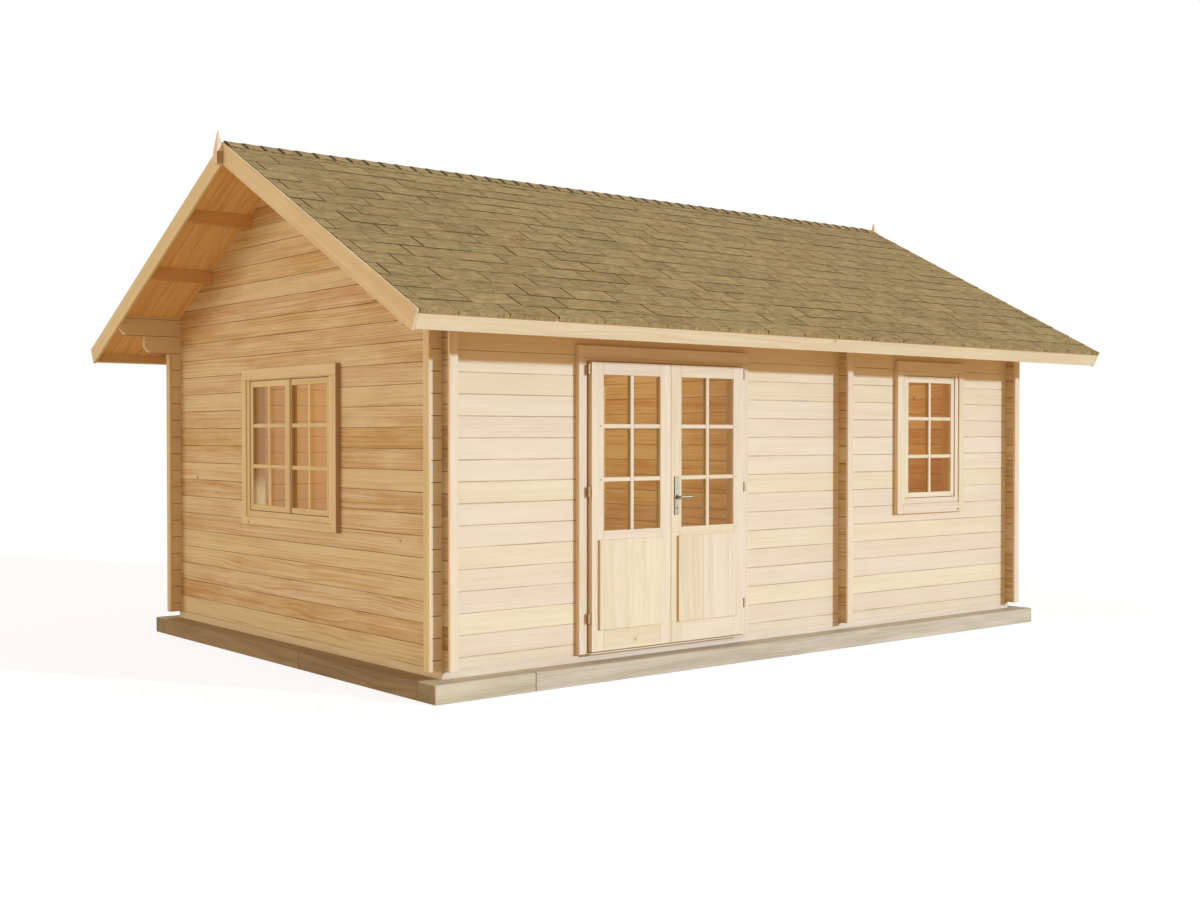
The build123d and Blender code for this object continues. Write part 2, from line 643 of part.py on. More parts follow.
# ---------------------------------------------------------------- roof
def build_roof():
    top = FASCIA_DEPTH + SHINGLE
    fascias = []
    for side, name in ((1, "front"), (-1, "back")):
        boards = slope_layer(BOARD_UNDER, FASCIA_DEPTH, side, start=FASCIA_THICK)
        save(f"roof_boards_{name}", prism_x(boards, -ROOF_END, ROOF_END))
        covering = [roof_point(-SHINGLE_LIP, top - SHINGLE_DRIP, side),
                    roof_point(-SHINGLE_LIP, top, side),
                    roof_point(ridge_along(top), top, side),
                    roof_point(ridge_along(FASCIA_DEPTH), FASCIA_DEPTH, side),
                    roof_point(0.0, FASCIA_DEPTH, side),
                    roof_point(0.0, top - SHINGLE_DRIP, side)]
        save(f"shingles_{name}", prism_x(covering, -ROOF_END, ROOF_END))
        fascia = [roof_point(0.0, 0.0, side), roof_point(0.0, FASCIA_DEPTH, side),
                  roof_point(FASCIA_THICK, FASCIA_DEPTH, side),
                  roof_point(FASCIA_THICK, 0.0, side)]
        fascias.append(prism_x(fascia, -ROOF_END, ROOF_END))
    save("fascias", *fascias)
    for x0, name in ((-VERGE, "left"), (ROOF_END, "right")):
        mitre = block(-VERGE - 1, VERGE + 1, -JOINT, JOINT, 0, 2 * WALL_TOP)
        save(f"barge_boards_{name}",
             *[prism_x(slope_layer(*BARGE_RANGE, side), x0, x0 + BARGE_THICK) - mitre
               for side in (1, -1)])
    foot = ridge_along(top) - CAP_WIDTH
    caps = [roof_point(foot, top, 1), roof_point(foot, top + CAP_EDGE, 1),
            roof_point(ridge_along(top + CAP_CROWN), top + CAP_CROWN, 1),
            roof_point(foot, top + CAP_EDGE, -1), roof_point(foot, top, -1),
            roof_point(ridge_along(top), top, 1)]
    save("ridge_caps", prism_x(caps, -ROOF_END, ROOF_END))
    save("purlins", *purlin_solids())


def finial(x_sign):
    """A pointed post over the joint of two barge boards."""
    thick, wide = FINIAL_SIZE
    foot = EAVE_Z + EAVE_Y * SLOPE - 15
    shoulder = foot + 88
    tip = shoulder + 142
    near, far = sorted((x_sign * VERGE, x_sign * (VERGE + thick)))
    post = block(near, far, -wide / 2, wide / 2, foot, shoulder)
    centre = ((near + far) / 2, 0, (shoulder + tip) / 2)
    blunt = 8.0
    base = Pos(centre[0], 0, shoulder) * Rectangle(thick, wide)
    point = Pos(centre[0], 0, tip) * Rectangle(blunt, blunt)
    return post + loft([base, point])


def build_finials():
    save("finials", finial(-1), finial(1))


def main():
    os.makedirs("parts", exist_ok=True)
    build_base()
    build_sills()
    build_walls()
    build_corner_trims()
    build_door()
    build_windows()
    build_roof()
    build_finials()


main()
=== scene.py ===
"""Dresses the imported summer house: boards, shingles, ironmongery, materials, light, camera."""
import math
import random

import bpy
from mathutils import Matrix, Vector


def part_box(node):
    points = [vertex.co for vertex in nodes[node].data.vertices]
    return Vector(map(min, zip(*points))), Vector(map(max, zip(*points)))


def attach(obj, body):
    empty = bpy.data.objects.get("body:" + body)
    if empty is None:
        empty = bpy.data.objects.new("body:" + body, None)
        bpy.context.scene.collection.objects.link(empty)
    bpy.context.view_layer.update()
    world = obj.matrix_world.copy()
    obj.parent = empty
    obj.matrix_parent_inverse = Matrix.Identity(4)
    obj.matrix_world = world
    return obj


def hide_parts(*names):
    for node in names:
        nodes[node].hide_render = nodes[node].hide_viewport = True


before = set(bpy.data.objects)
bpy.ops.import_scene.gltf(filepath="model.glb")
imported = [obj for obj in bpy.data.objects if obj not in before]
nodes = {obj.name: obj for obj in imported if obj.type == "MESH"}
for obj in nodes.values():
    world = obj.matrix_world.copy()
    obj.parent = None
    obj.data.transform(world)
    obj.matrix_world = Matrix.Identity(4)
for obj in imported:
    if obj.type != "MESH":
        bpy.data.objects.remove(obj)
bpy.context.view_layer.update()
scene = bpy.context.scene
rng = random.Random(11)

# ---- sizes, in metres
WALL_X, WALL_Y = 2.900, 1.950  # outer wall faces from the centre
WALL_THICK = 0.045
PARTITION_X = -WALL_X + 3.607
LOG = 0.135  # height of a log course
LOG_BASE = 0.175
WALL_TOP = LOG_BASE + 17.5 * LOG
STUB = 0.080  # log ends past the wall they cross
TRIM_WIDTH, TRIM_THICK = 0.065, 0.020
SEAM_HALF, SEAM_WAVER = 0.0036, 0.004

BASE_HEIGHT, BASE_WIDTH, BASE_LEDGE = 0.120, 0.200, 0.140
BASE_JOINT_X, BASE_JOINT_Y = 2.290, 0.370
BASE_GAP = 0.0015  # on each side of a joint
SILL_GAP = 0.001
FLOOR_THICK, FLOOR_PLANK, FLOOR_GAP = 0.020, 0.112, 0.0004
FLOOR_JOINT, FLOOR_STAGGER = 0.722, 0.6

SLOPE_ANGLE = math.radians(27.7)
RUN, RISE = math.cos(SLOPE_ANGLE), math.sin(SLOPE_ANGLE)
SLOPE = RISE / RUN
EAVE = 0.487  # wall face to the foot of the fascia
EAVE_Y = WALL_Y + EAVE
FASCIA_DEPTH = 0.120  # depths on the roof are square to the slope
FASCIA_THICK = 0.020
ROOF_BOARD = 0.048  # planks with the battens and insulation on them
PLANK, PLANK_WIDTH, PLANK_BEVEL = 0.019, 0.1133, 0.0050
PLANK_START = -WALL_X - 0.371
NARROWEST_PLANK = 0.02
BOARD_UNDER = FASCIA_DEPTH - ROOF_BOARD
BARGE_RANGE = (-0.007, 0.125)
BARGE_THICK = 0.022
SHINGLE = 0.012
SHINGLE_LIP = 0.008
SHINGLE_DRIP = 0.028  # the front edge of the shingles, turned down
EAVE_Z = WALL_TOP - EAVE * SLOPE - BOARD_UNDER / RUN
VERGE = WALL_X + 0.520
ROOF_END = VERGE - BARGE_THICK

TAB_WIDTH = 0.358
TAB_THICK, TAB_HEAD_THICK = 0.0044, 0.0030
TAB_STARTS = (-WALL_X - 0.242, -WALL_X - 0.421)  # of even courses and of odd ones
TAB_LIFT = (0.0046, 0.0058)  # of a butt, off the level of the heads
TAB_SAG = 0.0045  # of each end of a butt, down or up the slope
TAB_LEVEL, FELT_LEVEL = FASCIA_DEPTH + 0.0018, FASCIA_DEPTH + 0.0012
NARROWEST_TAB = 0.012
DARK_BUTTS = 0.3  # share of tabs whose butt shows the dark cut edge, which also paints the shadow line under the course
COURSE, FIRST_COURSE, COURSE_LAP = 0.1777, 0.146, 0.030
SLOT, SLOT_RANGE = 0.010, (0.35, 1.5)
CAP_SPACING, CAP_LAP = 0.1357, 0.034
CAP_REACH = 0.112  # down each slope from the ridge
CAP_BEND, CAP_CROWN = 0.030, 0.010

DOOR_X = -WALL_X + 1.813
LEAF_HALF = 0.696
LEAF_GAP = 0.007  # between the solids of the leaves
MEETING_GAP = 0.0025  # between the boards that dress them
LEAF_FACE, LEAF_THICK = 0.070, 0.042
LEAF_RANGE = (0.190, 2.089)
LEAF_GLASS = (0.980, 2.006)
LEAF_INFILL = (0.345, 0.890)  # between the bottom rail and the middle one
INFILL_BOARDS, INFILL_GAP = 5, 0.0002
HINGE_STILE, MEETING_STILE = 0.100, 0.094
PANEL_MARGIN, PANEL_PROUD = 0.057, 0.017
PANEL_RANGE = (0.331, 0.921)
PANEL_BOARDS = (0.232, 0.547)  # joints of the raised panel, from its left arris
PEG_MARGIN, PEG_RADIUS = 0.025, 0.0065
DOOR_RECESS = 0.016
DOOR_FRAME_FACE = 0.022
THRESHOLD_RANGE, THRESHOLD_PROUD = (0.175, 0.184), 0.074
CASING_UNDER = 2.117
CASING_HEAD, CASING_WIDTH, CASING_PROUD = 0.080, 0.066, 0.038
LINING, LINING_DEPTH = 0.045, 0.090
LAP = 0.014  # leaf or sash over its lining
JOINT = 0.0006
BAR = 0.028

HANDLE_X, HANDLE_Z = DOOR_X + 0.050, 1.187
PLATE_HALF, PLATE_THICK, PLATE_CORNER = 0.021, 0.008, 0.007
PLATE_LOW, PLATE_HIGH = HANDLE_Z - 0.123, HANDLE_Z + 0.139
SCREW_INSET = 0.014
KEYHOLE_Z = HANDLE_Z - 0.077

SASH_FACE, SASH_THICK = 0.020, 0.042
SASH_GAP, SASH_REVEAL = 0.006, 0.004
COVER_STRIP, COVER_PROUD = (-0.044, 0.014), 0.014
WINDOW_FRAME_FACE = 0.028
WINDOW_RECESS = 0.048
SHADE_DEPTH = 0.0012  # of the strips of painted shade on the gable window


# ---- shader nodes
def linear(*colour):
    """A colour given by its screen values, 0 to 255, as the linear one a shader takes."""
    def channel(value):
        value /= 255
        return value / 12.92 if value <= 0.04045 else ((value + 0.055) / 1.055) ** 2.4
    return (*map(channel, colour), 1.0)


class Net:
    """The nodes of a material or a world; each method adds some and gives their output."""

    def __init__(self, owner):
        owner.use_nodes = True
        self.owner, self.tree = owner, owner.node_tree
        self.tree.nodes.clear()

    def node(self, kind, inputs, **properties):
        """All outputs of a node whose inputs are set to values or linked to sockets."""
        made = self.tree.nodes.new("ShaderNode" + kind)
        for key, value in properties.items():
            setattr(made, key, value)
        for key, value in inputs.items():
            if isinstance(value, bpy.types.NodeSocket):
                self.tree.links.new(value, made.inputs[key])
            else:
                made.inputs[key].default_value = value
        return made.outputs

    def maths(self, operation, a, b=0.0, c=0.0, clamp=False):
        return self.node("Math", {0: a, 1: b, 2: c}, operation=operation, use_clamp=clamp)[0]

    def times(self, a, b):
        return self.maths("MULTIPLY", a, b)

    def plus(self, base, value, weight=1.0, clamp=False):
        return self.maths("MULTIPLY_ADD", value, weight, base, clamp)

    def sway(self, base, pattern, weight, clamp=False):
        """A base moved up and down by a pattern whose mean is one half."""
        return self.plus(base, self.maths("SUBTRACT", pattern, 0.5), weight, clamp)

    def step(self, value, low, high, out_low=0.0, out_high=1.0):
        return self.node("MapRange", {0: value, 1: low, 2: high, 3: out_low, 4: out_high},
                         interpolation_type="SMOOTHSTEP")[0]

    def mix(self, factor, a, b, blend="MIX"):
        return self.node("Mix", {0: factor, 6: a, 7: b}, data_type="RGBA", blend_type=blend)[2]

    def lean(self, colour, factor, a, b):
        """A colour tinted between two tints."""
        return self.mix(1.0, colour, self.mix(factor, a, b), "MULTIPLY")

    def place(self):
        """Position in the house."""
        return self.node("TexCoord", {})["Object"]

    def split(self, vector):
        return self.node("SeparateXYZ", {0: vector})

    def joined(self, *parts):
        return self.node("CombineXYZ", dict(enumerate(parts)))[0]

    def stretched(self, vector, scale):
        return self.node("VectorMath", {0: vector, 1: scale}, operation="MULTIPLY")[0]

    def dice(self, number):
        """Outputs of white noise that changes with a number."""
        return self.node("TexWhiteNoise", {"W": number}, noise_dimensions="1D")

    def noise(self, vector, scale, detail=2.0, rough=0.5):
        """Smooth noise, at one scale or at one for each axis."""
        if isinstance(scale, tuple):
            vector, scale = self.stretched(vector, scale), 1.0
        inputs = {"Vector": vector, "Scale": scale, "Detail": detail, "Roughness": rough}
        return self.node("TexNoise", inputs)["Fac"]

    def bump(self, strength, distance, height):
        inputs = {"Strength": strength, "Distance": distance, "Height": height}
        return self.node("Bump", inputs)[0]

    def blend(self, factor, a, b):
        """Two shaders, each given by the outputs of its node."""
        return self.node("MixShader", {0: factor, 1: a[0], 2: b[0]})[0]

    def finish(self, shader, output="OutputMaterial"):
        self.node(output, {"Surface": shader})
        return self.owner

    def surface(self, inputs):
        return self.finish(self.node("BsdfPrincipled", inputs)[0])


def new_net(name):
    return Net(bpy.data.materials.new(name))


def add_object(name, data):
    made = bpy.data.objects.new(name, data)
    scene.collection.objects.link(made)
    return made


# ---- materials
def board_coordinates(net):
    """Grain-space position and tone that each built board carries in its mesh."""
    return (net.node("Attribute", {}, attribute_name="grain")["Vector"],
            net.node("Attribute", {}, attribute_name="tone")["Fac"], None)


def bar_coordinates(along, salt):
    """Grain along the first axis named in along, and a tone by the place on the second."""
    def coordinates(net):
        split = net.split(net.place())
        lengthwise, across = (split[axis] for axis in along)
        cell = net.maths("FLOOR", net.times(across, 3.0))
        tone = net.dice(net.plus(cell, salt))["Value"]
        return net.joined(lengthwise, across, split["Z"]), tone, None
    return coordinates


def log_coordinates(along, first_seam, salt, seam_dark, end_shade_brown):
    """Grain-space position and tone of the logs of a wall, from their height in it.

    The seams are worn to seam_dark or less, except on the ends that run past the corners
    of the house, whose seams are painted fully dark and brown as shade; the last argument
    is the greatest share of that painted brown."""
    def coordinates(net):
        split = net.split(net.place())
        depth_axis, corner = ("Y", WALL_X) if along == "X" else ("X", WALL_Y)
        course = net.maths("DIVIDE", net.maths("SUBTRACT", split["Z"], first_seam), LOG)
        dice = net.dice(net.plus(net.maths("FLOOR", course), salt))
        tone, shift = dice["Value"], net.node("SeparateColor", {0: dice["Color"]})
        grain = net.joined(net.plus(split[along], shift[0], 19.0),
                           net.plus(split["Z"], shift[1], 3.0), split[depth_axis])
        from_seam = net.times(net.maths("PINGPONG", course, 0.5), LOG)
        width = net.sway(SEAM_HALF, net.noise(grain, 2.0, 1.0), SEAM_WAVER)
        seam = net.maths("SUBTRACT", 1.0, net.maths("DIVIDE", from_seam, width, clamp=True))
        worn = net.step(net.noise(grain, (2.6, 1.0, 1.0), 3.0), 0.35, 0.65,
                        seam_dark - 0.6, seam_dark)
        # Painted shade on the log ends past the corners: their seams at full dark, and a share of
        # brown.
        end = net.step(net.maths("ABSOLUTE", split[along]), corner, corner + 0.003)
        share = net.node("Mix", {0: end, 2: worn, 3: 1.0}, data_type="FLOAT")[0]
        brown = net.step(tone, 0.0, 1.0, 0.6 * end_shade_brown, end_shade_brown)
        dark = net.maths("MAXIMUM", net.times(seam, share), net.times(end, brown))
        return grain, tone, dark
    return coordinates


KNOT_CELLS = 5.2  # cells in a metre, some of which hold a knot
PITH = 0.35  # from the middle of a board to that of its tree
RINGS = 190.0  # in a metre
YELLOW_LEAN, PINK_LEAN = (1.03, 1.0, 0.93, 1.0), (1.02, 0.97, 1.02, 1.0)
# The brown of the seams, which is also painted as shade on the log ends.
WEATHER_GREY, SEAM_AND_SHADE_BROWN = linear(150, 146, 132), linear(90, 44, 18)


def wood(name, colours, contrast, knots, roughness=0.6, weathered=0.0,
         coordinates=board_coordinates):
    """Softwood: growth rings, fibres, knots and a tone of its own for each board.

    The colours are those of the pale wood, the dark wood and the knots."""
    net = new_net(name)
    light, dark, knot = (linear(*colour) for colour in colours)
    grain, tone, seam = coordinates(net)
    # Knots: one cell in several has one, and the rings flow round it.
    flat = net.stretched(grain, (1.0, 1.0, 0.0))
    cells = net.node("TexVoronoi", {"Vector": flat, "Scale": KNOT_CELLS, "Randomness": 0.9})
    pick = net.node("SeparateColor", {0: cells["Color"]})
    there = net.step(pick[0], 1.0 - knots, 1.02 - knots)
    size = net.plus(0.005, pick[1], 0.009)
    away = net.maths("DIVIDE", net.maths("DIVIDE", cells["Distance"], KNOT_CELLS), size)
    core = net.times(there, net.step(away, 0.55, 1.25, 1.0, 0.0))
    halo = net.times(there, net.step(away, 0.8, 3.4, 1.0, 0.0))
    # Growth rings round a pith outside the board, bent by slow noise and by the knots.
    split = net.split(grain)
    from_pith = net.joined(0.0, split[1], net.plus(split[2], PITH))
    radius = net.node("VectorMath", {0: from_pith}, operation="LENGTH")["Value"]
    bent = net.plus(radius, net.noise(grain, (0.7, 5.0, 5.0)), 0.060)
    bent = net.plus(bent, halo, 0.014)
    ring = net.noise(net.joined(net.times(bent, RINGS), net.times(split[0], 0.25)),
                     1.0, 1.0, 0.6)
    ring = net.step(ring, 0.38, 0.66)
    fibre = net.noise(grain, (9.0, 420.0, 420.0), 2.0, 0.65)
    cloud = net.noise(grain, (1.43, 9.1, 9.1), 3.0, 0.6)
    streak = net.noise(grain, (0.9, 46.0, 46.0), 2.0, 0.6)
    depth = net.plus(0.12, ring, 0.30 * contrast)
    for pattern, weight in ((fibre, 0.30), (cloud, 1.00), (streak, 0.45)):
        depth = net.sway(depth, pattern, weight * contrast)
    depth = net.sway(depth, tone, 0.30 * contrast, clamp=True)
    # Some boards lean to yellow and some to pink.
    colour = net.lean(net.mix(depth, light, dark),
                      net.maths("FRACT", net.times(tone, 7.31)), YELLOW_LEAN, PINK_LEAN)
    colour = net.mix(net.times(halo, 0.30), colour, dark)
    colour = net.mix(net.times(core, 0.80), colour, knot)
    if weathered:
        grey = net.noise(grain, (3.0, 20.0, 20.0), 4.0, 0.7)
        colour = net.mix(net.times(grey, weathered), colour, WEATHER_GREY)
    # Dark seams, and the painted shade of the log ends, from the coordinates.
    if seam is not None:
        colour = net.mix(seam, colour, SEAM_AND_SHADE_BROWN)
    return net.surface({
        "Base Color": colour, "Specular IOR Level": 0.35,
        "Roughness": net.step(fibre, 0.2, 0.8, roughness - 0.08, roughness + 0.10),
        "Normal": net.bump(0.35, 0.0006, net.plus(net.times(ring, 0.4), fibre, 0.6))})


def shingle_material():
    """Mineral-faced felt: coloured granules, and a slight tone of its own for each tab."""
    net = new_net("mineral_felt_shingle")
    place, tone, _ = board_coordinates(net)
    grit = net.noise(place, 620.0, 2.0, 0.7)
    cloud = net.noise(place, (6.5, 20.8, 6.5), 4.0, 0.70)
    streak = net.noise(place, (10.0, 50.0, 1.0), 3.0, 0.65)
    wash = net.noise(place, 0.9, 3.0, 0.6)
    depth = 0.5
    for pattern, weight in ((cloud, 1.2), (streak, 2.2), (tone, 0.22), (wash, 0.5)):
        depth = net.sway(depth, pattern, weight)
    depth = net.sway(depth, grit, 1.0, clamp=True)
    colour = net.mix(depth, linear(194, 165, 115), linear(133, 106, 66))
    colour = net.lean(colour, net.step(net.noise(place, 2.4), 0.35, 0.65),
                      (1.04, 1.0, 0.97, 1.0), (0.97, 1.0, 0.98, 1.0))
    grains = net.node("TexVoronoi", {"Vector": place, "Scale": 430.0})["Color"]
    shade = net.node("SeparateColor", {0: grains})[0]
    flecks = (((84, 66, 44), 0.86, 0.95, 0.5), ((216, 200, 166), 0.10, 0.03, 0.45))
    for fleck, low, high, share in flecks:
        colour = net.mix(net.times(net.step(shade, low, high), share), colour, linear(*fleck))
    return net.surface({"Base Color": colour, "Roughness": 0.92, "Specular IOR Level": 0.2,
                        "Normal": net.bump(0.6, 0.0016, net.plus(grit, cloud, 0.5))})


def felt_material(name, light, dark):
    """Bitumen felt: the underlay seen through the slots, and the cut edges of the tabs."""
    net = new_net(name)
    place = net.place()
    grit = net.times(net.noise(place, 300.0, 3.0, 0.6), 0.5)
    depth = net.plus(grit, net.noise(place, 9.0, 3.0, 0.6), 0.6, clamp=True)
    return net.surface({"Base Color": net.mix(depth, linear(*light), linear(*dark)),
                        "Roughness": 0.95})


def metal_material(name, light, dark, roughness):
    """Satin metal with fine brushing and slight tarnish."""
    net = new_net(name)
    place = net.place()
    brush = net.noise(place, (900.0, 900.0, 30.0), 2.0, 0.6)
    tarnish = net.noise(place, 60.0, 3.0, 0.6)
    return net.surface({
        "Base Color": net.mix(tarnish, linear(*light), linear(*dark)), "Metallic": 1.0,
        "Roughness": net.step(brush, 0.2, 0.8, roughness - 0.06, roughness + 0.10),
        "Normal": net.bump(0.15, 0.0002, brush)})


def glass_material(name, low, high):
    """Clear panes: seen through, with the mirror of glass at a slant."""
    net = new_net(name)
    waver = net.noise(net.place(), 2.2, 1.0)
    through = net.node("BsdfTransparent", {"Color": net.mix(waver, low, high)})
    ripple = net.bump(0.04, 0.002, waver)
    mirror = net.node("BsdfGlossy", {"Roughness": 0.02, "Normal": ripple})
    slant = net.node("LayerWeight", {"Blend": 0.5})["Facing"]
    share = net.plus(0.012, net.maths("POWER", slant, 5.0), 0.95)
    return net.finish(net.blend(share, through, mirror))


PALE, HONEY, KNOT, OLD_KNOT = (233, 214, 184), (210, 180, 138), (156, 104, 62), (84, 62, 40)
# Warmer, darker copies of PALE and HONEY: painted shade for the walls whose logs run along Y.
PALE_PAINTED_SHADE, HONEY_PAINTED_SHADE = (223, 204, 167), (194, 150, 91)

trim_wood = wood("planed_spruce", (PALE, HONEY, KNOT), 0.8, 0.10)
# A warmer, darker copy of the planed spruce, painted shade for the barge boards, the corner trims
# that face the gables and the gable window.
painted_shade_trim_wood = wood("spruce_with_painted_shade", ((227, 208, 166), (202, 173, 124), KNOT), 0.9, 0.12)
# Dark spruce for thin strips of painted shade on the side faces of the gable window and the
# finials that turn to the front.
painted_shade_wood = wood("dark_spruce_painted_shade", ((180, 150, 130), (156, 122, 99), KNOT), 1.0, 0.0)
roof_wood = wood("roof_board_spruce", ((234, 194, 134), (202, 151, 92), (120, 68, 34)), 1.1, 0.20)
floor_wood = wood("floor_spruce", ((214, 178, 126), (178, 128, 76), KNOT), 1.0, 0.25)
base_wood = wood("sawn_base_timber", ((216, 200, 174), (164, 143, 110), (104, 82, 56)),
                 1.1, 0.30, 0.78, 0.25)
# A copy of the base timber for the ends on the gable sides: weathered grey like the front
# timbers, and darker as painted shade.
base_end_wood_painted_shade = wood(
    "weathered_base_timber_painted_shade", ((166, 138, 104), (118, 92, 62), OLD_KNOT), 1.2, 0.30, 0.80, 0.35)
end_grain = wood(
    "base_end_grain", ((158, 140, 112), (112, 94, 70), OLD_KNOT), 1.2, 0.0, 0.85, 0.35)
peg_wood = wood("peg_end_grain", ((178, 164, 138), (140, 122, 94), KNOT), 0.8, 0.0)
purlin_wood = wood("purlin_spruce", ((222, 178, 122), (190, 136, 80), KNOT), 1.0, 0.2,
                   coordinates=bar_coordinates("XY", 71.0))
bearer_wood = wood("bearer_timber", ((196, 180, 148), (140, 120, 86), (84, 62, 38)),
                   1.2, 0.3, 0.78, 0.3, bar_coordinates("YX", 29.0))
shingle_look = shingle_material()
felt_look = felt_material("felt_underlay", (112, 90, 56), (72, 54, 32))
# Dark felt for the ridge seal strips, partly painted shadow under the cap ends, and for the
# painted shade of the peg holes.
dark_felt_and_shade_look = felt_material("felt_seal_strip_and_painted_shade", (84, 62, 38), (56, 40, 24))
# Cut edges of tabs and caps: dark felt, and partly painted shadow lines.
cut_edge_and_shade_look = felt_material("felt_cut_edge_and_painted_shade", (122, 98, 60), (88, 68, 42))
steel_look = metal_material("satin_steel", (172, 156, 130), (128, 112, 90), 0.38)
hinge_look = metal_material("zinc_plated_steel", (204, 174, 130), (146, 114, 78), 0.42)
# Dark metal, also used for the painted shade of the keyholes and screw slots.
dark_metal_and_hole_shade_look = metal_material("dark_metal", (74, 64, 52), (44, 36, 28), 0.45)
glass_look = glass_material("door_glass_look", (0.93, 0.95, 0.93, 1.0), (0.95, 0.965, 0.955, 1.0))
warm_glass_look = glass_material(
    "window_glass_look", (0.95, 0.91, 0.76, 1.0), (0.97, 0.93, 0.80, 1.0))

# ---- building boards
X, Y, Z = Vector((1, 0, 0)), Vector((0, 1, 0)), Vector((0, 0, 1))
CORNERS = ((1, -1), (1, 1), (-1, 1), (-1, -1))
TUBE_SIDES, DISC_SIDES = 16, 20


def eased(a, b, ease):
    """A rectangle of half sizes a and b with its corners taken off, round its centre."""
    return [(a - ease, -b), (a, -b + ease), (a, b - ease), (a - ease, b),
            (-a + ease, b), (-a, b - ease), (-a, -b + ease), (-a + ease, -b)]


def circle(sides):
    """Cosine and sine of each turn of a circle."""
    turns = (2 * math.pi * n / sides for n in range(sides))
    return [(math.cos(turn), math.sin(turn)) for turn in turns]


def on_wall(wall, u0, u1, v0, v1, z0, z1):
    """Corners of a box given along a wall (u), outward from its face (v) and in height."""
    if wall == "front":
        return (u0, -WALL_Y - v1, z0), (u1, -WALL_Y - v0, z1)
    return (-WALL_X - v1, u0, z0), (-WALL_X - v0, u1, z1)


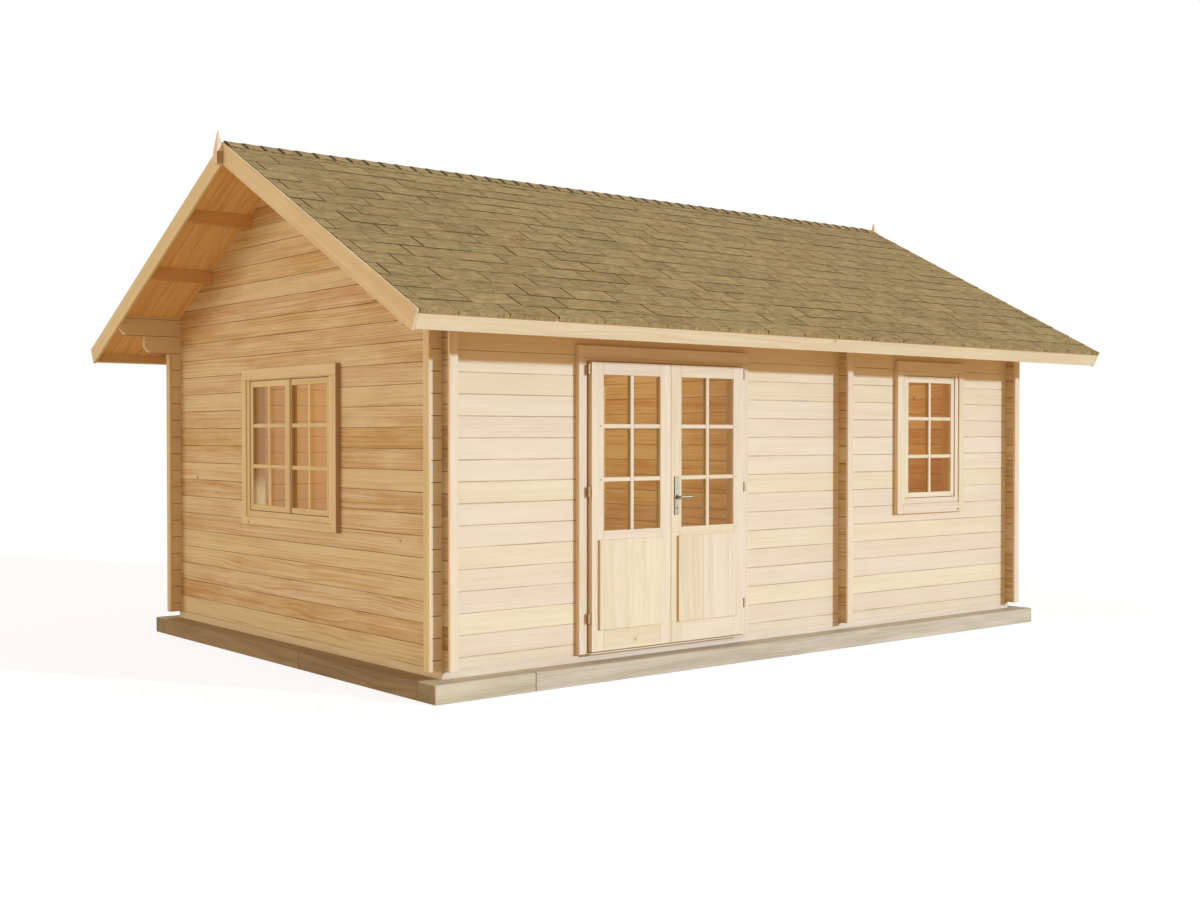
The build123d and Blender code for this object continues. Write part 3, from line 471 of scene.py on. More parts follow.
class Boards:
    """Gathers boards into one piece; each keeps its own grain direction, place and tone.

    The piece rides on a body and is shown in place of the solids that it replaces."""
    begun = []

    def __init__(self, name, material, replaces=(), body="house", edges=None):
        self.name, self.material, self.body, self.replaces = name, material, body, replaces
        self.edges = edges
        self.points, self.faces, self.grain, self.tone, self.cut = [], [], [], [], []
        self.begun.append(self)

    def loops(self, rings, grains, tone=None, cut_ends=(0, 0)):
        """Skin over a run of rings, closed at both ends; grains is one per point.

        An end marked 1 in cut_ends takes the piece's material for cut edges."""
        start, count = len(self.points), len(rings[0])
        last = start + (len(rings) - 1) * count
        tone = rng.random() if tone is None else tone
        shift = Vector((rng.uniform(0, 40), rng.uniform(-0.3, 0.3), rng.uniform(0, 0.2)))
        for ring, ring_grain in zip(rings, grains):
            self.points += ring
            self.grain += [place + shift for place in ring_grain]
            self.tone += [tone] * count
        for low in range(start, last, count):
            high = low + count
            for k in range(count):
                after = (k + 1) % count
                self.faces.append((low + k, low + after, high + after, high + k))
                self.cut.append(0)
        self.faces.append(tuple(reversed(range(start, start + count))))
        self.faces.append(tuple(range(last, last + count)))
        self.cut += cut_ends

    def sweep(self, section, axes, start, end, ease=0.0015, tone=None, cut_ends=(1, 1)):
        """A section drawn along w, where axes holds an origin, u, v and w.

        The start and end are lengths, or functions of a place in the section."""
        origin, u, v, w = axes
        reach_u = max(abs(a) for a, _ in section)
        reach_v = max(abs(b) for _, b in section)
        small = [(a * (1 - ease / reach_u), b * (1 - ease / reach_v)) for a, b in section]
        rings, grains = [], []
        for shape, length, inward in ((small, start, 0.0), (section, start, ease),
                                      (section, end, -ease), (small, end, 0.0)):
            ring, ring_grain = [], []
            for a, b in shape:
                along = (length(a, b) if callable(length) else length) + inward
                ring.append(origin + u * a + v * b + w * along)
                ring_grain.append(Vector((along, a, b)))
            rings.append(ring)
            grains.append(ring_grain)
        self.loops(rings, grains, tone, cut_ends)

    def board(self, low, high, along, ease=0.002):
        """An upright box with eased edges; along names the axis its grain runs on."""
        axes = {"x": (Z, -Y, X), "y": (Z, X, Y), "z": (X, Y, Z)}[along]
        low, high = Vector(low), Vector(high)
        size = high - low
        half_u, half_v, half_w = (abs(size.dot(axis)) / 2 for axis in axes)
        self.sweep(eased(half_u, half_v, min(ease, half_u / 2, half_v / 2)),
                   ((low + high) / 2, *axes), -half_w, half_w, ease)

    def stile(self, wall, u0, u1, v0, v1, z0, z1, ease=0.002):
        """An upright board on a wall."""
        self.board(*on_wall(wall, u0, u1, v0, v1, z0, z1), "z", ease)

    def rail(self, wall, u0, u1, v0, v1, z0, z1, ease=0.002):
        """A level board on a wall."""
        along = "x" if wall == "front" else "y"
        self.board(*on_wall(wall, u0, u1, v0, v1, z0, z1), along, ease)

    def tube(self, path, radii):
        """A round bar along a path in one level plane."""
        rings, grains, run, turns = [], [], 0.0, circle(TUBE_SIDES)
        for k, (point, radius) in enumerate(zip(path, radii)):
            before, after = path[max(k - 1, 0)], path[min(k + 1, len(path) - 1)]
            side = (after - before).normalized().cross(Z)
            run += (point - before).length
            rings.append([point + side * radius * c + Z * radius * s for c, s in turns])
            grains.append([Vector((run, radius * c, radius * s)) for c, s in turns])
        self.loops(rings, grains)

    def disc(self, wall, u, z, radius, v0, v1, ease):
        """A round plug or button standing out of a wall, from v0 to v1."""
        rings, grains = [], []
        for r, v in ((radius, v0), (radius, v1 - ease), (radius - ease, v1)):
            flat = [(u + r * c, z + r * s) for c, s in circle(DISC_SIDES)]
            if wall == "front":
                rings.append([Vector((a, -WALL_Y - v, b)) for a, b in flat])
            else:
                rings.append([Vector((-WALL_X - v, -a, b)) for a, b in flat])
            grains.append([Vector((v, a, b)) for a, b in flat])
        self.loops(rings, grains)

    def make(self):
        mesh = bpy.data.meshes.new(self.name)
        mesh.from_pydata([tuple(p) for p in self.points], [], self.faces)
        grain = mesh.attributes.new("grain", "FLOAT_VECTOR", "POINT")
        grain.data.foreach_set("vector", [c for p in self.grain for c in p])
        tone = mesh.attributes.new("tone", "FLOAT", "POINT")
        tone.data.foreach_set("value", self.tone)
        mesh.materials.append(self.material)
        if self.edges:
            mesh.materials.append(self.edges)
            mesh.polygons.foreach_set("material_index", self.cut)
        mesh.validate()
        made = add_object(self.name, mesh)
        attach(made, self.body)
        if self.replaces:
            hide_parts(*self.replaces)


# ---- base, floor and sills
def margins(low, high, width):
    """The strips of a width at both ends of a range."""
    return (low, low + width), (high - width, high)


def split_lengths(start, end, joint, gap):
    """A run in two lengths, with a gap on each side of their joint."""
    return (start, joint - gap), (joint + gap, end)


def build_base():
    edge_x, edge_y = WALL_X + BASE_LEDGE, WALL_Y + BASE_LEDGE
    inner = edge_y - BASE_WIDTH
    strips = margins(-edge_y, edge_y, BASE_WIDTH)
    for name, side, (y0, y1) in zip(("base_front", "base_back"), (-1, 1), strips):
        run = Boards(name + "_timber", base_wood, (name,), edges=end_grain)
        for x0, x1 in split_lengths(-edge_x, edge_x, side * BASE_JOINT_X, BASE_GAP):
            run.board((x0, y0, 0), (x1, y1, BASE_HEIGHT), "x", 0.004)
    short = Boards("base_end_timbers", base_end_wood_painted_shade, ("base_ends",))
    for side, (x0, x1) in zip((-1, 1), margins(-edge_x, edge_x, BASE_WIDTH)):
        for y0, y1 in split_lengths(-inner, inner, side * BASE_JOINT_Y, BASE_GAP):
            short.board((x0, y0, 0), (x1, y1, BASE_HEIGHT), "y", 0.004)


def build_floor():
    low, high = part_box("floor")
    floor = Boards("floor_planks", floor_wood, ("floor",))
    count = round((high[1] - low[1]) / FLOOR_PLANK)
    width = (high[1] - low[1]) / count
    section = eased(width / 2 - FLOOR_GAP, FLOOR_THICK / 2, 0.0015)
    for row in range(count):
        middle = Vector((0, low[1] + (row + 0.5) * width, LOG_BASE - FLOOR_THICK / 2))
        joint = FLOOR_JOINT - FLOOR_STAGGER * (row * 2 % 5 - 1)
        for x0, x1 in split_lengths(low[0], high[0], joint, FLOOR_GAP):
            floor.sweep(section, (middle, Y, Z, X), x0, x1, 0.0006)


def build_sills():
    sills = Boards("sill_planks", trim_wood, ("sill_boards",))
    for y0, y1 in margins(-WALL_Y, WALL_Y, WALL_THICK):
        sills.board((-WALL_X, y0, BASE_HEIGHT), (WALL_X, y1, LOG_BASE), "x")
    end = WALL_Y - (WALL_THICK + SILL_GAP)
    for x0, x1 in margins(-WALL_X, WALL_X, WALL_THICK):
        sills.board((x0, -end, BASE_HEIGHT), (x1, end, LOG_BASE), "y")


# ---- walls
# Walls that share a look, the axis of their logs, the salt of their tones, and the greatest share
# of brown painted as shade on their log ends.
LOG_WALLS = (
    (("front_wall_left", "front_wall_over_door", "front_wall_right"), "X", 3.0, 0.10),
    (("back_wall",), "X", 141.0, 0.10),
    (("left_gable_wall",), "Y", 277.0, 0.42),
    (("right_gable_wall",), "Y", 419.0, 0.10),
    (("partition_wall_front", "partition_wall_back", "partition_wall_over_doorway"), "Y",
     533.0, 0.10))
# For each axis: the height of a seam, how dark the seams are, the colours, their contrast. The
# walls along Y, whose left gable stands in shade, take painted shade: warmer, darker colours and
# darker seams.
LOG_LOOKS = {"X": (LOG_BASE + LOG / 2, 0.70, (PALE, HONEY, KNOT), 0.65),
             "Y": (LOG_BASE, 1.0, (PALE_PAINTED_SHADE, HONEY_PAINTED_SHADE, KNOT), 1.9)}


def dress(names, look):
    """Gives solids of the frame their material."""
    for name in names:
        nodes[name].data.materials.clear()
        nodes[name].data.materials.append(look)


def dress_walls():
    for names, along, salt, end_shade_brown in LOG_WALLS:
        first_seam, seam_dark, colours, contrast = LOG_LOOKS[along]
        place = log_coordinates(along, first_seam, salt, seam_dark, end_shade_brown)
        dress(names, wood("logs_" + names[0], colours, contrast, 0.14, coordinates=place))


def build_corner_trims():
    trims = Boards("corner_trim_boards", trim_wood, ("corner_trims",))
    # The trims that face the gables take the copy of the spruce with painted shade.
    side_trims = Boards("side_corner_trim_boards", painted_shade_trim_wood)
    half, log_middle = TRIM_WIDTH / 2, WALL_THICK / 2
    corbel_foot = LOG_BASE + 15.5 * LOG
    soffit = WALL_TOP - (STUB + TRIM_THICK) * SLOPE
    for side in (-1, 1):
        y0, y1 = sorted((side * (WALL_Y + STUB), side * (WALL_Y + STUB + TRIM_THICK)))
        for x in (-WALL_X + log_middle, PARTITION_X + log_middle, WALL_X - log_middle):
            trims.board((x - half, y0, LOG_BASE), (x + half, y1, soffit), "z", 0.003)
        x0, x1 = sorted((side * (WALL_X + STUB), side * (WALL_X + STUB + TRIM_THICK)))
        for y in (-WALL_Y + log_middle, WALL_Y - log_middle):
            side_trims.board((x0, y - half, LOG_BASE), (x1, y + half, corbel_foot), "z", 0.003)


# ---- openings
def frame_round(boards, wall, half, centre, v0, v1, z0, z1, widths, ease=0.002):
    """Boards round an opening: two sides, a head and, where it has one, a foot."""
    sides, head, foot = widths
    left, right = centre - half, centre + half
    for a, b in margins(left, right, sides):
        boards.stile(wall, a, b, v0, v1, z0, z1 - head - JOINT, ease)
    boards.rail(wall, left, right, v0, v1, z1 - head, z1, ease)
    if foot:
        boards.rail(wall, left + sides + JOINT, right - sides - JOINT, v0, v1, z0, z0 + foot,
                    ease)


def bar_feet(glass):
    """Heights of the undersides of the two cross bars over a sheet of glass."""
    pane = (glass[1] - glass[0] - 2 * BAR) / 3
    return [glass[0] + row * pane + (row - 1) * BAR for row in (1, 2)]


def bars(boards, wall, g0, g1, face, thick, glass, slim=False):
    """Glazing bars, two panes wide and three high: on both sides of the glass or, where
    they are slim, laid thin on the outside of it."""
    back, middle = face - thick, face - thick / 2
    runs = ((middle + 0.003, face - 0.002), (back + 0.002, middle - 0.003))
    if slim:
        runs = ((face - 0.011, face - 0.002),)
    mid = (g0 + g1) / 2
    for v0, v1 in runs:
        boards.stile(wall, mid - BAR / 2, mid + BAR / 2, v0, v1, *glass, 0.003)
        for low in bar_feet(glass):
            for a, b in ((g0, mid - BAR / 2), (mid + BAR / 2, g1)):
                boards.rail(wall, a, b, v0, v1, low, low + BAR, 0.003)


def build_leaf(side, name):
    far = DOOR_X + side * LEAF_HALF
    u0, u1 = sorted((DOOR_X + side * LEAF_GAP / 2, far))
    out0, out1 = sorted((DOOR_X + side * MEETING_GAP / 2, far))
    left_stile, right_stile = (HINGE_STILE, MEETING_STILE)[::-side]
    g0, g1 = u0 + left_stile, u1 - right_stile
    leaf = Boards(f"{name}_leaf_joinery", trim_wood, (f"{name}_door_leaf",), f"{name}_door")
    face, back = LEAF_FACE, LEAF_FACE - LEAF_THICK
    bottom, top = LEAF_RANGE
    for a, b in ((out0, g0), (g1, out1)):
        leaf.stile("front", a, b, back, face, bottom, top, 0.0015)
    for low, high in ((bottom, LEAF_INFILL[0]), (LEAF_INFILL[1], LEAF_GLASS[0]),
                      (LEAF_GLASS[1], top)):
        leaf.rail("front", g0, g1, back, face, low, high, 0.0012)
    bars(leaf, "front", g0, g1, face, LEAF_THICK, LEAF_GLASS)
    # Upright boards: an infill behind, and the raised panel that covers it in front.
    width = (g1 - g0) / INFILL_BOARDS
    for k in range(INFILL_BOARDS):
        a = g0 + k * width
        leaf.stile("front", a + INFILL_GAP, a + width - INFILL_GAP, back + 0.008,
                   face - 0.001, *LEAF_INFILL, 0.003)
    p0, p1 = u0 + PANEL_MARGIN, u1 - PANEL_MARGIN
    edges = [p0, *(p0 + at for at in PANEL_BOARDS), p1]
    for a, b in zip(edges, edges[1:]):
        leaf.stile("front", a, b, face, face + PANEL_PROUD, *PANEL_RANGE, 0.0010)
    pegs = Boards(f"{name}_leaf_pegs", peg_wood, body=f"{name}_door")
    at = g0 - PEG_MARGIN if side < 0 else g1 + PEG_MARGIN
    for low in bar_feet(LEAF_GLASS):
        pegs.disc("front", at, low + BAR / 2, PEG_RADIUS, face - 0.004, face + 0.0004, 0.0003)


def plate_ring(inset, y):
    """The outline of a handle plate with round corners, drawn in by an inset."""
    middle, half_z = (PLATE_LOW + PLATE_HIGH) / 2, (PLATE_HIGH - PLATE_LOW) / 2
    radius = PLATE_CORNER - inset
    ring = []
    for (x_side, z_side), first in zip(CORNERS, (-90, 0, 90, 180)):
        for step in range(5):
            turn = math.radians(first + step * 22.5)
            ring.append(Vector((
                HANDLE_X + x_side * (PLATE_HALF - PLATE_CORNER) + radius * math.cos(turn), y,
                middle + z_side * (half_z - PLATE_CORNER) + radius * math.sin(turn))))
    return ring


def build_handle():
    """Long plates with screws and a keyhole, and a lever on each face of the leaf."""
    plates = Boards("handle_back_plates", steel_look, ("handle_plates",), "right_door")
    dark = Boards("handle_keyholes", dark_metal_and_hole_shade_look, body="right_door")
    levers = Boards("lever_grips", steel_look, ("lever_handle",), "lever")
    # The neck, its bend and the grip: across from the spindle, out from the leaf, radius.
    bend = [(0.010 * (1 - math.cos(math.radians(turn))),
             0.033 + 0.009 * math.sin(math.radians(turn)), radius)
            for turn, radius in ((20, 0.0072), (40, 0.0074), (60, 0.0077), (80, 0.0080))]
    lever = [(0.0, 0.0095, 0.0085), (0.0, 0.012, 0.0095), (0.0, 0.033, 0.0072), *bend,
             (0.014, 0.042, 0.0080), (0.060, 0.0425, 0.0072), (0.105, 0.042, 0.0078),
             (0.114, 0.0418, 0.0066), (0.119, 0.0415, 0.0026)]
    for surface, way in ((LEAF_FACE, 1), (LEAF_FACE - LEAF_THICK, -1)):
        rings = [plate_ring(inset, -WALL_Y - surface - way * proud) for inset, proud in (
            (0.0, 0.0), (0.0, PLATE_THICK - 0.0015), (0.0015, PLATE_THICK))]
        plates.loops(rings, rings)
        top = surface + way * PLATE_THICK
        for z in (PLATE_LOW + SCREW_INSET, PLATE_HIGH - SCREW_INSET):
            plates.disc("front", HANDLE_X, z, 0.0042, top, top + way * 0.0012, 0.0008)
            # The screw slot, a dark shape of painted shade.
            v0, v1 = sorted((top, top + way * 0.0013))
            dark.rail("front", HANDLE_X - 0.0030, HANDLE_X + 0.0030, v0, v1, z - 0.0005,
                      z + 0.0005, 0.0001)
        # The keyhole, dark shapes of painted shade.
        dark.disc("front", HANDLE_X, KEYHOLE_Z + 0.006, 0.0048, top - way * 0.001,
                  top + way * 0.0004, 0.0002)
        v0, v1 = sorted((top - way * 0.001, top + way * 0.0003))
        dark.stile("front", HANDLE_X - 0.0026, HANDLE_X + 0.0026, v0, v1, KEYHOLE_Z - 0.012,
                   KEYHOLE_Z + 0.006, 0.0001)
        dark.disc("front", HANDLE_X, HANDLE_Z, 0.0125, top, top + way * 0.0009, 0.0003)
        levers.tube([Vector((HANDLE_X + x, -WALL_Y - surface - way * out, HANDLE_Z))
                     for x, out, _ in lever], [radius for _, _, radius in lever])
    levers.tube([Vector((HANDLE_X, -WALL_Y - v, HANDLE_Z)) for v in (0.0185, 0.050, 0.0795)],
                [0.005] * 3)


def build_door():
    bottom, top = LEAF_RANGE
    foot = THRESHOLD_RANGE[1]
    clear = LEAF_HALF + DOOR_RECESS
    half = clear - JOINT
    frame_boards = Boards("door_frame_linings", trim_wood, ("door_frame",))
    frame_round(frame_boards, "front", LEAF_HALF - LAP + LINING, DOOR_X, -LINING_DEPTH, 0.0,
                LOG_BASE, top - LAP + LINING, (LINING, LINING, bottom + LAP - LOG_BASE))
    widths = half - LEAF_HALF + LAP, CASING_UNDER - JOINT - top + LAP, bottom + LAP - foot
    frame_round(frame_boards, "front", half, DOOR_X, 0.0, DOOR_FRAME_FACE, foot,
                CASING_UNDER - JOINT, widths)
    casing = Boards("door_casing_boards", trim_wood, ("door_casing",))
    frame_round(casing, "front", clear + CASING_WIDTH, DOOR_X, 0.0, CASING_PROUD, LOG_BASE,
                CASING_UNDER + CASING_HEAD, (CASING_WIDTH, CASING_HEAD, 0.0), 0.003)
    casing.rail("front", DOOR_X - clear, DOOR_X + clear, 0.0, CASING_PROUD, top + 0.007,
                CASING_UNDER, 0.001)
    step = Boards("threshold_strip", trim_wood, ("threshold",))
    step.rail("front", DOOR_X - half, DOOR_X + half, 0.0, THRESHOLD_PROUD, *THRESHOLD_RANGE)
    build_leaf(-1, "left")
    build_leaf(1, "right")
    build_handle()


WINDOWS = {
    "front": dict(
        wall="front", centre=-WALL_X + 4.692, widths=(0.628,), stiles=((0.040, 0.040),),
        sash=(1.107, 2.080), glass=(1.147, 2.030), foot=0.079,
        head_gap=CASING_UNDER - 2.080, node="front_window_sash"),
    "gable": dict(
        wall="left", centre=0.0, widths=(0.594, 0.594), stiles=((0.040, 0.048), (0.048, 0.040)),
        sash=(1.055, 2.005), glass=(1.095, 1.962), foot=0.058, head_gap=0.010,
        node="gable_window_sashes"),
}


def build_window(name, spec, pegs, shade):
    wall, centre, widths, glass = (spec[key] for key in ("wall", "centre", "widths", "glass"))
    front = wall == "front"
    # The gable window takes the copy of the spruce with painted shade.
    look = trim_wood if front else painted_shade_trim_wood
    half = (sum(widths) + (len(widths) - 1) * SASH_GAP) / 2
    z0, z1 = spec["sash"]
    under, over = z0 - WINDOW_RECESS, z1 + spec["head_gap"]
    casing_range = under - spec["foot"], over + CASING_HEAD
    casing = Boards(f"{name}_window_casing_boards", look, ("window_casings",) if front else ())
    frame_round(casing, wall, half + WINDOW_RECESS + CASING_WIDTH, centre, 0.0, CASING_PROUD,
                *casing_range, (CASING_WIDTH, CASING_HEAD, spec["foot"]), 0.003)
    lining = Boards(f"{name}_window_linings", look, (f"{name}_window_frame",))
    seat, rim = SASH_THICK - SASH_FACE, LINING - LAP - SASH_REVEAL
    outer, low, high = half - LAP + LINING, z0 + LAP - LINING, z1 - LAP + LINING
    frame_round(lining, wall, outer, centre, -LINING_DEPTH, -seat, low, high, (LINING,) * 3)
    frame_round(lining, wall, outer, centre, -seat, 0.0, low, high, (rim,) * 3, 0.0015)
    width = WINDOW_RECESS - SASH_REVEAL - JOINT
    frame_round(lining, wall, half + WINDOW_RECESS - JOINT, centre, 0.0, WINDOW_FRAME_FACE,
                under + JOINT, over - JOINT,
                (width, spec["head_gap"] - SASH_REVEAL - JOINT, width), 0.0015)
    sash = Boards(f"{name}_window_joinery", look, (spec["node"],))
    back = SASH_FACE - SASH_THICK
    u0 = centre - half
    for width, stiles in zip(widths, spec["stiles"]):
        u1 = u0 + width
        g0, g1 = u0 + stiles[0], u1 - stiles[1]
        for a, b in ((u0, g0), (g1, u1)):
            sash.stile(wall, a, b, back, SASH_FACE, z0, z1, 0.0015)
        for a, b in ((z0, glass[0]), (glass[1], z1)):
            sash.rail(wall, g0, g1, back, SASH_FACE, a, b, 0.0015)
        bars(sash, wall, g0, g1, SASH_FACE, SASH_THICK, glass, slim=not front)
        # On the gable, a strip of painted shade on the side face of each pane's stile that turns
        # to the front.
        if not front:
            shade.stile(wall, g1 - SHADE_DEPTH, g1, back + 0.018, SASH_FACE - 0.002, *glass,
                        0.0003)
        u0 = u1 + SASH_GAP
    if len(widths) > 1:
        sash.stile(wall, *COVER_STRIP, SASH_FACE, SASH_FACE + COVER_PROUD, z0, z1, 0.003)
    # The peg hole of the foot board, by the end that is farther from the door, drawn as a dark
    # disc of painted shade.
    end, rise = (centre + half + WINDOW_RECESS - 0.017, 0.020) if front else (-0.600, 0.017)
    pegs.disc(wall, end, casing_range[0] + rise, 0.0080, CASING_PROUD - 0.004,
              CASING_PROUD + 0.0003, 0.0002)
    # On the gable, a strip of painted shade on the casing's side face that turns to the front.
    if not front:
        edge = centre - half - WINDOW_RECESS - CASING_WIDTH
        shade.stile(wall, edge - SHADE_DEPTH, edge, 0.0, CASING_PROUD - 0.001, *casing_range,
                    0.0003)


def build_windows():
    pegs = Boards("window_casing_peg_hole_shades", dark_felt_and_shade_look)
    shade = Boards("gable_window_painted_shade_edges", painted_shade_wood)
    for name, spec in WINDOWS.items():
        build_window(name, spec, pegs, shade)


# ---- roof
def slope_frame(side, x, along=0.0, out=0.0):
    """Origin and axes on a roof slope: u along X, v out of the slope, w up it."""
    w = Vector((0, side * RUN, RISE))
    v = Vector((0, -side * RISE, RUN))
    return Vector((x, -side * EAVE_Y, EAVE_Z)) + w * along + v * out, X, v, w


def ridge_along(out):
    """Distance up a slope to the ridge, at a level out of it."""
    return (EAVE_Y + out * RISE) / RUN


def board_up(boards, side, x, level, section, start, ease, gap=0.0):
    """A board drawn up a slope at a level out of it and cut plumb at the ridge."""
    boards.sweep(section, slope_frame(side, x, 0.0, level), start,
                 lambda _, b: ridge_along(level + b) - gap, ease)


def build_roof_boards():
    edges = [-ROOF_END]
    joint = PLANK_START
    while joint < ROOF_END - NARROWEST_PLANK:
        if joint > -ROOF_END + NARROWEST_PLANK:
            edges.append(joint)
        joint += PLANK_WIDTH
    edges.append(ROOF_END)
    for side, name in ((1, "front"), (-1, "back")):
        boards = Boards(f"roof_planks_{name}", roof_wood, (f"roof_boards_{name}",))
        level = BOARD_UNDER + PLANK / 2
        for x0, x1 in zip(edges, edges[1:]):
            section = eased((x1 - x0) / 2 - 0.0010, PLANK / 2, PLANK_BEVEL)
            board_up(boards, side, (x0 + x1) / 2, level, section, FASCIA_THICK, 0.0008)
        # The insulated battens over the planks, closed off by the fascia and barge boards.
        packing = Boards(f"roof_packing_{name}", floor_wood)
        half = (ROOF_BOARD - PLANK) / 2 - 0.0003
        level = FASCIA_DEPTH - half - 0.0003
        board_up(packing, side, 0.0, level, eased(ROOF_END - 0.001, half, 0.001),
                 FASCIA_THICK + 0.001, 0.0005)


def build_trim_boards():
    fascia = Boards("fascia_planks", trim_wood, ("fascias",))
    for side in (1, -1):
        origin, u, v, w = slope_frame(side, 0.0, FASCIA_THICK / 2, FASCIA_DEPTH / 2)
        fascia.sweep(eased(FASCIA_DEPTH / 2, FASCIA_THICK / 2, 0.003), (origin, v, w, u),
                     -ROOF_END, ROOF_END, 0.001)
    low, high = BARGE_RANGE
    middle, half = (low + high) / 2, (high - low) / 2
    for x, name in ((-VERGE + BARGE_THICK / 2, "left"), (VERGE - BARGE_THICK / 2, "right")):
        barge = Boards(f"barge_planks_{name}", painted_shade_trim_wood, (f"barge_boards_{name}",))
        for side in (1, -1):
            board_up(barge, side, x, middle, eased(BARGE_THICK / 2, half, 0.003), 0.0, 0.002,
                     JOINT)


def build_shingles(side, name):
    """Courses of tabs, each lifted on the one below and split from its neighbours."""
    tabs = Boards(f"shingle_tabs_{name}", shingle_look, (f"shingles_{name}",), edges=cut_edge_and_shade_look)
    crest = ridge_along(FASCIA_DEPTH)
    starts = [-SHINGLE_LIP]
    while starts[-1] < crest - 0.10:
        starts.append(FIRST_COURSE + (len(starts) - 1) * COURSE)
    for row, low in enumerate(starts):
        high = min(FIRST_COURSE + row * COURSE + COURSE_LAP, crest - 0.006)
        x = TAB_STARTS[row % 2] - TAB_WIDTH
        slot = SLOT
        while x < ROOF_END:
            x0 = max(x + slot / 2, -ROOF_END + 0.0005)
            slot = SLOT * rng.uniform(*SLOT_RANGE)
            x1 = min(x + TAB_WIDTH - slot / 2, ROOF_END - 0.0005)
            x += TAB_WIDTH
            if x1 - x0 < NARROWEST_TAB:
                continue
            lift = rng.uniform(*TAB_LIFT)
            sags = [rng.uniform(-TAB_SAG, TAB_SAG) if row else 0.0 for _ in range(2)]
            turned = TAB_LEVEL + lift
            rings, grains = ([], []), ([], [])
            for end, b in ((0, 0.0), (1, 0.0), (1, 1.0), (0, 1.0)):
                a, thick = (x0, x1)[end], b * TAB_THICK
                rings[0].append(slope_frame(side, a, low + sags[end], turned + thick)[0])
                rings[1].append(slope_frame(side, a, high, TAB_LEVEL + b * TAB_HEAD_THICK)[0])
                grains[0].append(Vector((a, low, thick)))
                grains[1].append(Vector((a, high, thick)))
            tone = rng.random()
            dark_butt = 1 if row and rng.random() < DARK_BUTTS else 0
            tabs.loops(rings, grains, tone, (dark_butt, 0))
            if row == 0:
                drop = turned - (FASCIA_DEPTH + SHINGLE - SHINGLE_DRIP)
                half = SHINGLE_LIP / 2
                axes = slope_frame(side, (x0 + x1) / 2, -half, turned - drop / 2)
                tabs.sweep(eased((x1 - x0) / 2, drop / 2, 0.0008), axes, -half + 0.0002,
                           half - 0.001, 0.0006, tone, (0, 0))
    felt = Boards(f"felt_underlay_{name}", felt_look)
    board_up(felt, side, 0.0, FELT_LEVEL, eased(ROOF_END - 0.001, 0.0010, 0.0002), -0.004,
             0.0003)


def over_ridge(x, out, inset=0.0):
    """Points across the ridge, from one foot of a bent strip to the other."""
    shoulder, foot = ridge_along(out) - CAP_BEND, ridge_along(out) - CAP_REACH + inset
    near, far = ([slope_frame(side, x, along, out)[0] for along in (foot, shoulder)]
                 for side in (1, -1))
    crown = near[1].copy()
    crown.y = 0.0
    crown.z += CAP_CROWN
    return [*near, crown, *reversed(far)]


def bent_strip(boards, ends, cut_ends=(0, 0)):
    """A strip bent over the ridge; each end is its X, the height of its foot and its depth."""
    rings = [over_ridge(x, level) + over_ridge(x, level + thick, 0.004)[::-1]
             for x, level, thick in ends]
    grains = [[Vector((end[0], point.y, point.z - 3.6)) for point in ring]
              for end, ring in zip(ends, rings)]
    boards.loops(rings, grains, cut_ends=cut_ends)


def build_ridge_caps():
    """Caps bent over the ridge, each lapped over the one before it."""
    caps = Boards("ridge_cap_tabs", shingle_look, ("ridge_caps",), edges=cut_edge_and_shade_look)
    seals = Boards("ridge_cap_seals_and_shade", dark_felt_and_shade_look)
    top = FASCIA_DEPTH + SHINGLE
    x = -ROOF_END + 0.001
    while x < ROOF_END - 0.02:
        x_end = min(x + CAP_SPACING + CAP_LAP, ROOF_END - 0.001)
        # The end of each cap that turns to the left takes the dark cut edge, partly painted
        # shade.
        bent_strip(caps, ((x, top + 0.0030, 0.0046), (x_end, top - 0.0028, 0.0038)), (1, 0))
        # Under each cap end, a dark seal strip that reaches past it: felt, and painted shadow of
        # the cap end.
        if x > -ROOF_END + 0.01:
            bent_strip(seals, ((x - 0.024, top + 0.0014, 0.0034), (x + 0.004, top, 0.0036)))
        x += CAP_SPACING


def build_finials():
    posts = Boards("finial_posts", trim_wood, ("finials",))
    dark = Boards("finial_painted_shade_faces", painted_shade_wood)
    foot = EAVE_Z + EAVE_Y * SLOPE - 0.015
    shoulder, tip = foot + 0.088, foot + 0.230
    levels = ((foot, 0.0200, 0.0265), (foot + 0.003, 0.0225, 0.0290),
              (shoulder, 0.0225, 0.0290), (tip - 0.012, 0.0048, 0.0054), (tip, 0.0015, 0.0015))
    for side in (-1, 1):
        centre = Vector((side * (VERGE + 0.0225), 0.0, 0.0))
        rings, grains = [], []
        for z, half_x, half_y in levels:
            corners = [(a * half_x, b * half_y) for a, b in CORNERS]
            rings.append([centre + Vector((a, b, z)) for a, b in corners])
            grains.append([Vector((z, a, b)) for a, b in corners])
        posts.loops(rings, grains)
        # A strip of painted shade on the side of the finial that turns to the front.
        dark.board((centre.x - 0.0215, -0.0302, foot + 0.004),
                   (centre.x + 0.0215, -0.0288, shoulder), "z", 0.0003)


# ---- plain CAD nodes
def dress_plain_nodes():
    dress(["purlins"], purlin_wood)
    dress(["floor_bearers"], bearer_wood)
    dress(["window_glass"], warm_glass_look)
    dress(["left_door_glass", "right_door_glass"], glass_look)
    dress(["frame_hinges", "left_leaf_hinges", "right_leaf_hinges"], hinge_look)


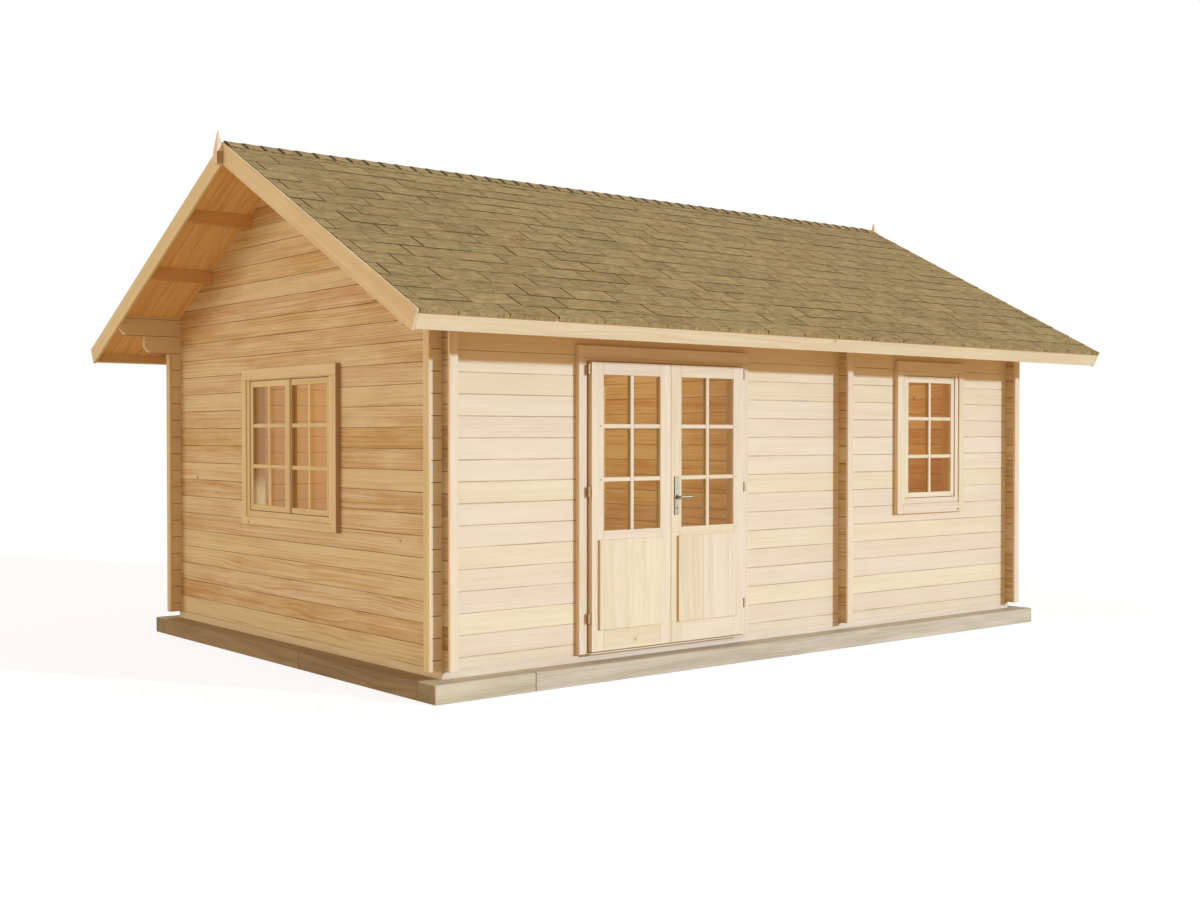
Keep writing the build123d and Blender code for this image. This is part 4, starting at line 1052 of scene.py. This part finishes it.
# ---- stage, light, camera
def seen_or_lit(net, seen, lit):
    """One shader where the camera, a reflection or a view through glass meets a surface,
    and another for the light that the surface sends to the house."""
    rays = net.node("LightPath", {})
    direct = net.maths("MAXIMUM", rays["Is Camera Ray"],
                       net.maths("MAXIMUM", rays["Is Glossy Ray"], rays["Is Transmission Ray"]))
    return net.blend(direct, lit, seen)


def build_stage():
    size = 60.0
    mesh = bpy.data.meshes.new("studio_floor")
    mesh.from_pydata([(a * size, b * size, 0) for a, b in CORNERS], [], [(0, 1, 2, 3)])
    floor = add_object("studio_floor", mesh)
    net = new_net("studio_floor_look")
    lit = net.node("BsdfDiffuse", {"Color": (0.92, 0.75, 0.51, 1.0)})
    shadow = net.node("BsdfDiffuse", {"Color": (0.27, 0.29, 0.32, 1.0)})
    white = net.node("Emission", {"Color": (1, 1, 1, 1), "Strength": 0.83})
    seen = net.node("AddShader", {0: shadow[0], 1: white[0]})
    mesh.materials.append(net.finish(seen_or_lit(net, seen, lit)))


def build_world():
    scene.world = bpy.data.worlds.new("studio")
    net = Net(scene.world)
    glow = net.node("Background", {"Color": (1.0, 0.81, 0.51, 1.0), "Strength": 0.56})
    white = net.node("Background", {"Color": (1, 1, 1, 1), "Strength": 1.0})
    net.finish(seen_or_lit(net, white, glow), "OutputWorld")


def build_lamps():
    for name, energy, spread, colour, towards in (
            ("key_sun", 3.20, 3.0, (0.515, 0.745, 1.0), (0.57, -1.0, 0.287)),
            ("side_fill", 1.13, 40.0, (1.0, 0.965, 0.89), (-1.0, 0.45, 0.06))):
        sun = bpy.data.lights.new(name, "SUN")
        sun.energy, sun.color = energy, colour
        sun.angle = math.radians(spread)
        direction = Vector(towards).to_track_quat("Z", "Y").to_euler()
        add_object(name, sun).rotation_euler = direction
    for number, x in enumerate((-0.9, 1.8)):
        name = f"room_glow_{number}"
        glow = bpy.data.lights.new(name, "POINT")
        glow.energy, glow.color = 43.0, (1.0, 0.86, 0.50)
        glow.shadow_soft_size = 0.15
        holder = add_object(name, glow)
        holder.location = (x, 0.3, 1.9)
        holder.visible_camera = False


def build_camera():
    camera = bpy.data.cameras.new("view")
    camera.sensor_width = 36.0
    camera.lens = 43.24
    camera.shift_x, camera.shift_y = 0.0038, 0.0060
    camera.clip_end = 200.0
    holder = add_object("view", camera)
    holder.location = (-7.7095, -9.3095, 1.615)
    yaw, pitch = math.radians(39.251), math.radians(0.911)
    level = math.cos(pitch)
    forward = Vector((math.sin(yaw) * level, math.cos(yaw) * level, -math.sin(pitch)))
    holder.rotation_euler = forward.to_track_quat("-Z", "Y").to_euler()
    scene.camera = holder


build_base()
build_floor()
build_sills()
dress_walls()
build_corner_trims()
build_door()
build_windows()
build_roof_boards()
build_trim_boards()
build_shingles(1, "front")
build_shingles(-1, "back")
build_ridge_caps()
build_finials()
for piece in Boards.begun:
    piece.make()
dress_plain_nodes()
build_stage()
build_world()
build_lamps()
build_camera()
scene.view_settings.view_transform = "Standard"
